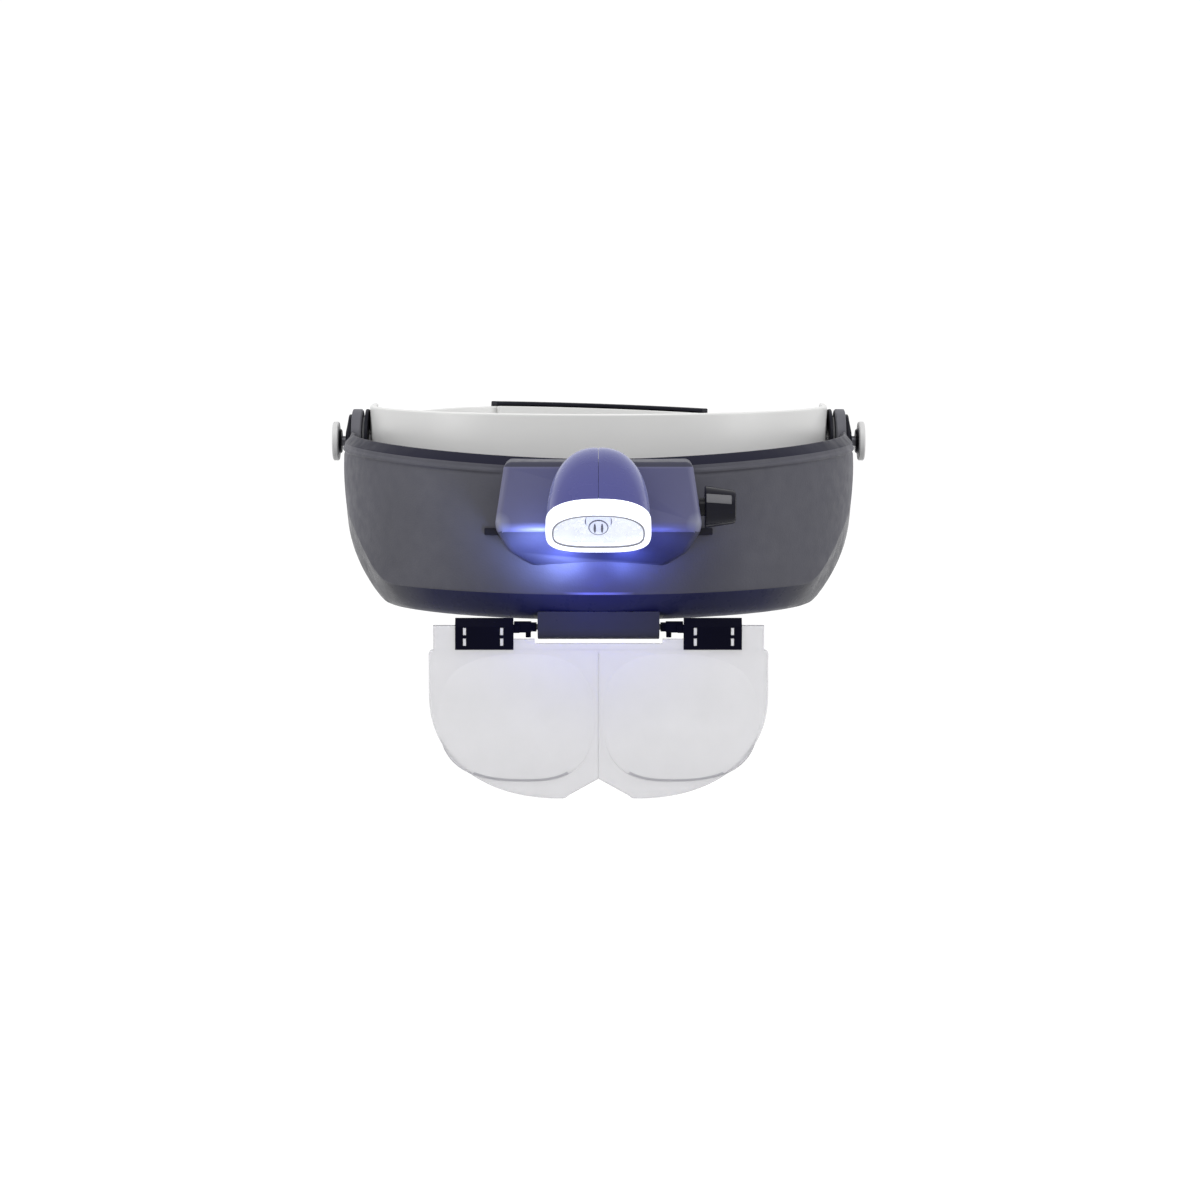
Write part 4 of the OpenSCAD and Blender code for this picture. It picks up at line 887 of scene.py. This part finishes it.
def make_leads():
    """Two lead posts and the chip's round cup, as they stand out through the diode's dome."""
    steps = 8
    bm = bmesh.new()
    for x in (-DIODE_POST, DIODE_POST):
        rings = []
        for k in range(steps + 1):
            r = 0.42 * math.sqrt(math.sin(math.pi * (k + 0.5) / (steps + 1)))
            centre = on_dome(x, mix(DIODE_POST_LOW, DIODE_POST_HIGH, k / steps))
            rings.append([LAMP_PLACE @ p for p in circle(centre, ACROSS, UP, r, 8)])
        loft(bm, rings)
    steps = 48
    rings = []
    for k in range(steps):
        out = polar(1, math.tau * k / steps).to_3d()
        centre = on_dome(DIODE_CUP * out.x, DIODE_CUP * out.y)
        rings.append([LAMP_PLACE @ p for p in circle(centre, out, UP, 0.2, 8)])
    loft(bm, rings, round_again=True)
    piece(raw("diode_leads", bm), "lamp", LEADS, angle=40)


def make_groove_shade():
    """Painted shade: a thin grey ring that lies on the window along the bezel's lip, where the groove between
    them is shaded.
    """
    z = BEZEL_LEN - 0.75
    profile = [(0.1, z), (0.15, z + 0.28), (0.35, z + 0.36), (0.6, z + 0.28), (0.65, z)]
    lamp_frame("window_groove_shade", [(-BEZEL_WALL - inset, z) for inset, z in profile], GROOVE_SHADE)


make_bezel()
make_window()
make_dish()
make_diode()
make_leads()
make_groove_shade()


# Headband

HALF_STRAIGHT = 17.0
BAND_IN, BAND_OUT = 83.9, 85.9
BAND_MID = (BAND_IN + BAND_OUT) / 2
BAND_HALF = 13.5
STRAP_TOP, STRAP_LOW = 7.0, -12.0
REAR_ROLL = math.radians(2)
REAR_ANGLE = math.asin(45 / 88.6)
# The strap ends just inside the rear housing, clear of its rack at the ratchet's limit
STRAP_IN = math.radians(1.0)
# Radius of the pivot hole, and the radius and back and up offsets of the rivet holes, in millimetres
PIVOT_HOLE_R, RIVET_R, RIVET_BACK, RIVET_UP = 4.5, 1.2, 18, 5


def strip_section(low, high):
    """Rounded section of a strip as (outward offset, height)."""
    h = (BAND_OUT - BAND_IN) / 2
    return rounded([(-h, low), (h, low), (h, high), (-h, high)], [0.75] * 4)


def make_band():
    path = [(BAND_MID, -y, 1, 0) for y in (0, 1.5, 3, 4.5, 6.5, 8, 10, 12, 14.5)]
    for k in range(121):
        c, s = polar(1, math.pi * k / 120)
        path.append((BAND_MID * c, -HALF_STRAIGHT - BAND_MID * s, c, -s))
    path += [(-x, y, -nx, ny) for x, y, nx, ny in reversed(path[:9])]
    rings = []
    for x, y, nx, ny in path:
        low = max(-BAND_HALF, STRAP_LOW + y) if y > -3 else -BAND_HALF
        high = min(BAND_HALF, STRAP_TOP - y)
        rings.append([(x + nx * d, y + ny * d, z) for d, z in strip_section(low, high)])
    band = skin("band_strip", rings)
    for side in (-1, 1):
        for r, back, z, steps in ((PIVOT_HOLE_R, 0, 0, 48), (RIVET_R, RIVET_BACK, -RIVET_UP, 24),
                                  (RIVET_R, RIVET_BACK, RIVET_UP, 24)):
            start, end = [(side * x, PIVOT_Y + back, z) for x in (BAND_IN - 2, BAND_OUT + 2)]
            cut(band, rod("hole", r, start, end, steps))
    piece(band, "headband", WHITE, ("forehead_band",))


def make_strap(side, name):
    last = math.pi / 2 - REAR_ANGLE + STRAP_IN
    steps = 60
    end_drop = side * BAND_MID * math.cos(last) * math.sin(REAR_ROLL)
    section = strip_section(STRAP_LOW, STRAP_TOP)
    rings = [[(side * (BAND_MID + d), HALF_STRAIGHT * k / 9, z) for d, z in section] for k in range(9)]
    for k in range(steps + 1):
        c, s = polar(1, last * k / steps)
        drop = end_drop * (1 - math.cos(math.pi * k / steps)) / 2
        rings.append([(side * (BAND_MID + d) * c, HALF_STRAIGHT + (BAND_MID + d) * s, z - drop)
                      for d, z in section])
    strap = skin("strap_strip_" + name, rings)
    strap.data.materials.append(WHITE)
    shade(strap, 50)
    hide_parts(name + "_strap")
    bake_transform(strap)


make_band()
make_strap(1, "left")
make_strap(-1, "right")


# Sweat pad: foam filled by a short cloth run with pressure, with a row of stitches near each edge

PAD_IN, PAD_OUT = 78.75, 83.45
PAD_HALF = 10.7
PAD_TURN = math.radians(77.6)
STITCH_IN, STITCH_STEP = 2.1, 3.1
STITCH_TURN = PAD_TURN - 0.06
VOXEL = 1.15
# Frames and pressure of the cloth run, how far a point may move, and how far past PAD_IN the face may go
AIR_FRAMES, AIR_PRESSURE, AIR_REACH, AIR_PAST = 20, 4, 0.45, 0.1


def pad_point(a, r, z):
    return Vector((r * math.sin(a), -HALF_STRAIGHT - r * math.cos(a), z))


def pad_form(name):
    """Crowned strip with rounded ends."""
    rings = []
    rows = 180
    for i in range(rows + 1):
        a = mix(-PAD_TURN, PAD_TURN, i / rows)
        left = (PAD_TURN - abs(a)) * PAD_IN
        end = math.sqrt(max(0.0, 1 - (1 - min(1.0, left / 5)) ** 2))
        half = PAD_HALF * mix(0.62, 1, end)
        thick = (PAD_OUT - PAD_IN) * mix(0.35, 1, end)
        outline = rounded([(0, -half), (0, half), (thick - 0.9, half), (thick, half * 0.45),
                           (thick, -half * 0.45), (thick - 0.9, -half)], [1.6, 1.6, 1.8, 4, 4, 1.8], 5)
        rings.append([pad_point(a, PAD_OUT - d, z) for d, z in outline])
    return skin(name, rings)


def fill_with_air(obj):
    """Pressure swells the cloth, and its points stay within their reach and the pad's place."""
    still = [v.co.copy() for v in obj.data.vertices]
    cloth = obj.modifiers.new("air", "CLOTH")
    cloth.settings.quality = 5
    cloth.settings.mass = 0.2
    cloth.settings.use_pressure = True
    cloth.settings.uniform_pressure_force = AIR_PRESSURE
    cloth.settings.effector_weights.gravity = 0
    cloth.collision_settings.use_collision = False
    for number in range(1, AIR_FRAMES + 1):
        bpy.context.scene.frame_set(number)
    apply_all(obj)
    for v, start in zip(obj.data.vertices, still):
        move = v.co - start
        if move.length > AIR_REACH * MM:
            move *= AIR_REACH * MM / move.length
        x, y, z = (start + move) / MM
        flat = Vector((x, y + HALF_STRAIGHT))
        flat *= min(max(flat.length, PAD_IN - AIR_PAST), PAD_OUT) / flat.length
        v.co = Vector((flat.x, flat.y - HALF_STRAIGHT, min(PAD_HALF, max(-PAD_HALF, z)))) * MM
    bpy.context.scene.frame_set(1)


def add_stitch(bm, ends):
    """Thread through three points of the pad's face that sinks into it at both ends."""
    places = [ends[0], ends[0].lerp(ends[1], 0.35), ends[1], ends[1].lerp(ends[2], 0.65), ends[2]]
    rings = []
    for here, r, lift in zip(places, (0.1, 0.22, 0.26, 0.22, 0.1), (-0.1, 0.12, 0.12, 0.12, -0.1)):
        inward = Vector((-here.x, -HALF_STRAIGHT - here.y, 0)).normalized()
        rings.append(circle(here + inward * lift, inward, UP, r, 6))
    loft(bm, rings)


def make_stitches(pad):
    """Short threads laid on the inner face, one row near each edge."""
    face = pad.evaluated_get(bpy.context.evaluated_depsgraph_get())
    bm = bmesh.new()
    count = int(2 * STITCH_TURN * PAD_IN / STITCH_STEP)
    for z in (PAD_HALF - STITCH_IN, STITCH_IN - PAD_HALF):
        for k in range(count):
            ends = []
            for part in (0.12, 0.5, 0.88):
                a = mix(-STITCH_TURN, STITCH_TURN, (k + part) / count)
                start = pad_point(a, PAD_IN - 6, z) * MM
                way = (pad_point(a, PAD_IN, z) * MM - start).normalized()
                hit, place, normal, index = face.ray_cast(start, way)
                ends.append(place / MM if hit else pad_point(a, PAD_IN, z))
            add_stitch(bm, ends)
    piece(raw("pad_stitches", bm), "headband", THREAD, angle=60)


def make_pad():
    pad = pad_form("pad_cushion")
    remesh = pad.modifiers.new("even", "REMESH")
    remesh.mode = "VOXEL"
    remesh.voxel_size = VOXEL * MM
    apply_all(pad)
    fill_with_air(pad)
    pad.modifiers.new("round", "SUBSURF").levels = 1
    apply_all(pad)
    make_stitches(pad)
    piece(pad, "headband", PAD, ("sweat_pad",), angle=60)


make_pad()


# Lens plate: two lenses with a raised optical zone each, joined by a clear flange

LENS_HALF = 57.3
LENS_TOP = -64.2
LENS_SIDE, LENS_CORNER, LENS_ROUND, LENS_POWER = 14.8, 36.0, 1.4, 2.2
NOSE_HALF, NOSE_RISE = 12.2, 6.8
LENS_BACK = LENS_Y + 0.5
LENS_THICK = 3.0
ZONE_CENTRE = Vector((24.5, -86.5))
ZONE_OUT, ZONE_IN, ZONE_UP, ZONE_DOWN, ZONE_POWER = 29.5, 23.0, 21.0, 22.6, 2.7
ZONE_RADIUS, ZONE_REACH = 165.0, Vector((29.0, 22.0)).length
# Height of the zone's lower edge over the plate; it runs out towards the top
ZONE_STEP = 0.8
# The painted dark arc starts this far below the zone's centre, on the narrow faces at the zone's edge
ARC_FROM, ARC_IN, ARC_FADE, ARC_OUT = 19.3, 0.95, 0.985, 1.002
FLANGE_LOW, FLANGE_HALF, FLANGE_CUT = LENS_TOP - 1.2, 55.7, 0.7
# The flange reaches up beside the brackets, lower under the arms and the hinge block
FLANGE_TOP, ARM_LOW, MID_LOW = LENS_Z + 0.7, LENS_Z - 3.9, LENS_Z - 5.4
BRACKET_IN, ARM_IN = 28.6, 21.5
# Pegs of the lens plate that fill the slots of its brackets
PEG_PLACES = [(BRACKET_IN + x, LENS_Z + z) for x in (3.95, 16.45) for z in (-1.1, -4.7)]
PEG_HALF, PEG_TALL = 0.45, 1.2


def lens_outline():
    """Right half, from the top of the seam round to the top of the nose notch."""
    side_z = LENS_TOP - LENS_SIDE
    low = side_z - LENS_CORNER
    turn_x, turn_z = LENS_HALF - LENS_ROUND, LENS_TOP - LENS_ROUND
    points = [(mix(0, turn_x, k / 20), LENS_TOP) for k in range(21)]
    points += [(turn_x + LENS_ROUND * math.sin(a), turn_z + LENS_ROUND * math.cos(a))
               for a in (math.pi / 8 * k for k in (1, 2, 3, 4))]
    points += [(LENS_HALF, mix(turn_z, side_z, k / 5)) for k in (1, 2, 3, 4)]
    for k in range(49):
        a = math.pi / 2 * k / 48
        points.append((NOSE_HALF + (LENS_HALF - NOSE_HALF) * math.cos(a) ** (2 / LENS_POWER),
                       side_z - LENS_CORNER * math.sin(a) ** (2 / LENS_POWER)))
    points += [(NOSE_HALF - 0.7, low + 0.12), (NOSE_HALF - 1.3, low + 0.45)]
    points += [(mix(NOSE_HALF, 0, k / 10), mix(low, low + NOSE_RISE, k / 10)) for k in range(2, 11)]
    points += [(0, mix(low + NOSE_RISE, LENS_TOP, k / 14)) for k in range(1, 14)]
    return points


def zone_share(d):
    """How far a point, measured from the zone's centre, lies towards the zone's edge, which is at 1."""
    a = ZONE_OUT if d.x > 0 else ZONE_IN
    b = ZONE_UP if d.y > 0 else ZONE_DOWN
    return ((abs(d.x) / a) ** ZONE_POWER + (abs(d.y) / b) ** ZONE_POWER) ** (1 / ZONE_POWER)


def lens_half(side):
    rim = [Vector(p) for p in lens_outline()]
    zone = [ZONE_CENTRE + (p - ZONE_CENTRE) / zone_share(p - ZONE_CENTRE) for p in rim]
    front = LENS_BACK - LENS_THICK

    def ring(y, shrink):
        drawn_in = [p + (ZONE_CENTRE - p).normalized() * shrink for p in rim]
        return [Vector((side * p.x, y, p.y)) for p in drawn_in]

    def swell(scale):
        out = []
        for p in zone:
            away = (p - ZONE_CENTRE) * scale
            sag = max(0, (ZONE_REACH ** 2 - away.length_squared) / (2 * ZONE_RADIUS))
            step = ZONE_STEP * clamp01((ZONE_CENTRE.y - p.y) / 22) ** 1.6
            q = ZONE_CENTRE + away
            out.append((side * q.x, front - step - sag * 0.55 * (1 - scale ** 6), q.y))
        return out

    rings = [ring(y, shrink) for y, shrink in (
        (LENS_BACK, 6.0), (LENS_BACK, 0.5), (LENS_BACK - 0.15, 0.15), (LENS_BACK - 0.5, 0), (front + 0.8, 0),
        (front + 0.25, 0.25), (front, 0.9))]
    inner = [Vector((side * p.x, front, p.y)) for p in zone]
    rings += [[u.lerp(v, 0.6) for u, v in zip(rings[-1], inner)], inner]
    rings += [swell(scale) for scale in (0.985, 0.95, 0.88, 0.78, 0.65, 0.5, 0.32, 0.14)]
    return skin("lens_half", rings)


def flange_half(side):
    outline = [(0, FLANGE_LOW), (FLANGE_HALF - FLANGE_CUT, FLANGE_LOW),
               (FLANGE_HALF, FLANGE_LOW + FLANGE_CUT), (FLANGE_HALF, FLANGE_TOP), (BRACKET_IN, FLANGE_TOP),
               (BRACKET_IN, ARM_LOW), (ARM_IN, ARM_LOW), (ARM_IN, MID_LOW), (0, MID_LOW)]
    rings = [[(side * x, y, z) for x, z in outline] for y in (LENS_BACK - LENS_THICK, LENS_BACK - 1)]
    return skin("flange", rings)


def darken_arcs(lens):
    """Painted shade: the lower edge of each optical zone is painted dark, and a little less so at its very
    rim.
    """
    lens.data.materials.append(LENS_ARC_PAINTED_SHADE)
    lens.data.materials.append(LENS_ARC_EDGE_PAINTED_SHADE)
    for face in lens.data.polygons:
        x, y, z = face.center / MM
        d = Vector((abs(x), z)) - ZONE_CENTRE
        if d.y < -ARC_FROM and y < LENS_BACK - LENS_THICK + 0.2 and ARC_IN < zone_share(d) < ARC_OUT:
            face.material_index = 1 if zone_share(d) < ARC_FADE else 2


def make_lens():
    halves = []
    for side in (1, -1):
        pegs = [block("peg", (side * x - PEG_HALF, LENS_Y - 4.2, z - PEG_TALL),
                      (side * x + PEG_HALF, LENS_Y - 2.0, z + PEG_TALL)) for x, z in PEG_PLACES]
        halves.append(cut(lens_half(side), flange_half(side), *pegs, operation="UNION"))
    lens = cut(*halves, operation="UNION")
    lens.name = "lens_pair"
    piece(lens, "lens", LENS, ("lens_plate",), angle=30)
    darken_arcs(lens)


make_lens()


# Screws whose heads look backwards, each with a cross recess

# Body, shank radius, head radius, head height and recess length of each node's screws
SCREWS = {
    "rear_screws": ("rear_unit", 1.0, 1.0, 0.0, 1.3),
    "ratchet_screw": ("ratchet", 1.4, 2.8, 1.4, 3.0),
    "box_screws": ("visor", 1.2, 2.3, 1.4, 2.6),
}


def find_screws(name):
    """Foot and head centres of each screw of a node, in millimetres, in the order of its mesh."""
    obj = NODES[name]
    bm = bmesh.new()
    bm.from_mesh(obj.data)
    bmesh.ops.remove_doubles(bm, verts=bm.verts, dist=0.004 * MM)
    seen, found = set(), []
    for first in bm.verts:
        if first in seen:
            continue
        seen.add(first)
        wave, island = [first], []
        while wave:
            v = wave.pop()
            island.append(obj.matrix_world @ v.co / MM)
            for e in v.link_edges:
                other = e.other_vert(v)
                if other not in seen:
                    seen.add(other)
                    wave.append(other)
        ends = []
        for way in (1, -1):
            edge = min(way * p.y for p in island) + 0.6
            cap = [p for p in island if way * p.y < edge]
            ends.append(sum(cap, Vector()) / len(cap))
        found.append(ends)
    bm.free()
    return found


def cross_arm(place, half, wide, low, high, turned_over):
    """One arm of a cross recess, which narrows towards its floor."""
    rings = []
    for z, k in ((low, 0.55), (high, 1.0)):
        ring = [(-half * k, -wide), (half * k, -wide), (half * k, wide), (-half * k, wide)]
        rings.append([place @ Vector((-y, x, z) if turned_over else (x, y, z)) for x, y in ring])
    return skin("recess", rings)


def make_screws(name):
    body, shank, head, head_t, recess = SCREWS[name]
    screws = []
    for foot, tip in find_screws(name):
        length = (tip - foot).length
        place = Matrix.Translation(foot) @ (tip - foot).to_track_quat("Z", "Y").to_matrix().to_4x4()
        profile = [(shank - 0.3, 0), (shank, 0.3)]
        if head_t:
            neck = length - head_t
            profile += [(shank, neck), (head - 0.1, neck), (head, neck + 0.15)]
        profile += [(head, length - 0.35), (head * 0.93, length - 0.12), (head * 0.7, length - 0.02),
                    (0.2, length)]
        arms = [cross_arm(place, recess / 2, recess * 0.11, length - recess * 0.28, length + 0.3, turned_over)
                for turned_over in (False, True)]
        screws.append(cut(skin("screw", spun(profile, 40, place)), *arms))
    whole = cut(*screws, operation="UNION")
    whole.name = name + "_crossed"
    piece(whole, body, STEEL, (name,), angle=40)


for node_name in SCREWS:
    make_screws(node_name)


# CAD nodes that stay get softer edges

EDGE_WIDTHS = {
    0.45: ("rear_housing",),
    0.40: ("rear_liner",),
    0.35: ("left_pivot_bracket", "right_pivot_bracket"),
    0.30: ("ratchet_knob", "battery_tray", "left_lens_bracket", "right_lens_bracket", "lamp_stalk"),
    0.25: ("left_thumb_knob", "right_thumb_knob"),
    0.20: ("left_thumb_screw", "right_thumb_screw"),
    0.15: ("left_rack", "right_rack", "bracket_rivets"),
}
for width, names in EDGE_WIDTHS.items():
    for node_name in names:
        tidy_cad(node_name, width)


# Camera, light and floor

# The photograph's width and focal length in its pixels, and the camera's places in metres
PHOTO_W, FOCAL = 1200, 2865
CAMERA_AT, CAMERA_AIM = Vector((0.0005, -1.0989, 0.0568)), Vector((0.0005, -0.060, -0.05608))

camera_data = bpy.data.cameras.new("camera")
camera_data.sensor_width = 36
camera_data.lens = FOCAL / PHOTO_W * camera_data.sensor_width
camera_data.clip_start = 0.05
camera_data.clip_end = 20
camera = add_object("camera", camera_data)
camera.location = CAMERA_AT
camera.rotation_euler = (CAMERA_AIM - CAMERA_AT).to_track_quat("-Z", "Y").to_euler()
bpy.context.scene.camera = camera
bpy.context.scene.view_settings.view_transform = "Standard"


def seen_directly(tree):
    """1 for the camera's rays, also by way of a mirror or through glass, and 0 for other rays."""
    path = tree.nodes.new("ShaderNodeLightPath").outputs
    clear = calculate(tree, "MAXIMUM", path["Is Camera Ray"], path["Is Transmission Ray"])
    return calculate(tree, "MAXIMUM", clear, path["Is Glossy Ray"])


def make_world():
    world = bpy.data.worlds.new("studio")
    bpy.context.scene.world = world
    world.use_nodes = True
    tree = world.node_tree
    room = tree.nodes["Background"]
    room.inputs["Color"].default_value = (1, 1, 1, 1)
    room.inputs["Strength"].default_value = 0.72
    white = add_node(tree, "ShaderNodeBackground", Color=(*BACKGROUND, 1), Strength=1.0)
    choose = tree.nodes.new("ShaderNodeMixShader")
    for i, source in enumerate((seen_directly(tree), room.outputs[0], white.outputs[0])):
        tree.links.new(source, choose.inputs[i])
    tree.links.new(choose.outputs[0], tree.nodes["World Output"].inputs["Surface"])


make_world()


def add_light(name, kind, place, aim_at, power, colour=(1, 1, 1)):
    """Light at a place in millimetres that is turned towards another."""
    data = bpy.data.lights.new(name, kind)
    data.energy = power
    data.color = colour
    obj = add_object(name, data)
    place, aim_at = Vector(place) * MM, Vector(aim_at) * MM
    obj.location = place
    obj.rotation_euler = (aim_at - place).to_track_quat("-Z", "Y").to_euler()
    return obj


def softbox(name, place, aim_at, size, power):
    light = add_light(name, "AREA", place, aim_at, power)
    light.data.shape = "RECTANGLE"
    light.data.size, light.data.size_y = size


softbox("key", (0, -700, 1000), (0, -50, -20), (1.2, 0.6), 5)
softbox("left_strip", (-1100, -350, 150), (0, -80, -30), (0.4, 1.2), 4)
softbox("right_strip", (1100, -350, 150), (0, -80, -30), (0.4, 1.2), 4)


def lamp_glow(name, place, aim_at, power, colour):
    """Soft spot of the light that the lamp sheds on the box, which moves with the lamp."""
    light = add_light(name, "SPOT", place, aim_at, power, colour)
    light.data.spot_size = math.radians(125)
    light.data.spot_blend = 1.0
    light.data.shadow_soft_size = 0.004
    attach(light, "lamp")


lamp_glow("glow_low", (-3, -182, -42), (-3, -148, -41), 0.07, (0.07, 0.10, 1.0))
lamp_glow("glow_low_left", (-11, -160, -34), (-11.5, -150, -30), 0.042, (0.26, 0.34, 1.0))
lamp_glow("glow_low_right", (9, -160, -34), (9.5, -150, -30), 0.032, (0.20, 0.28, 1.0))
lamp_glow("glow_left", (-20, -173, -36), (-19, -160, -27), 0.12, (0.36, 0.46, 1.0))
lamp_glow("glow_right", (20, -173, -36), (19, -160, -27), 0.03, (0.16, 0.22, 1.0))

# Depth and height of the backdrop's profile, and half its width
SWEEP = [(-2200, -300), (1200, -300), (1500, -250), (1700, -100), (1800, 200), (1800, 2100)]
SWEEP_HALF = 3000


def make_floor():
    """White paper that curves up behind the object and keeps its shadow."""
    mat, tree, shader = new_material("floor paper", Base_Color=(0.38, 0.38, 0.38, 1), Roughness=0.9)
    glow = add_node(tree, "ShaderNodeEmission", Color=(*BACKGROUND, 1))
    tree.links.new(calculate(tree, "MULTIPLY", seen_directly(tree), 0.76), glow.inputs["Strength"])
    add = tree.nodes.new("ShaderNodeAddShader")
    tree.links.new(shader.outputs[0], add.inputs[0])
    tree.links.new(glow.outputs[0], add.inputs[1])
    tree.links.new(add.outputs[0], tree.nodes["Material Output"].inputs["Surface"])
    rings = [[(x, y, z) for x in (-SWEEP_HALF, SWEEP_HALF)] for y, z in SWEEP]
    floor = skin("floor", rings, close_ring=False, caps=False)
    floor.data.materials.append(mat)
    shade(floor)


make_floor()
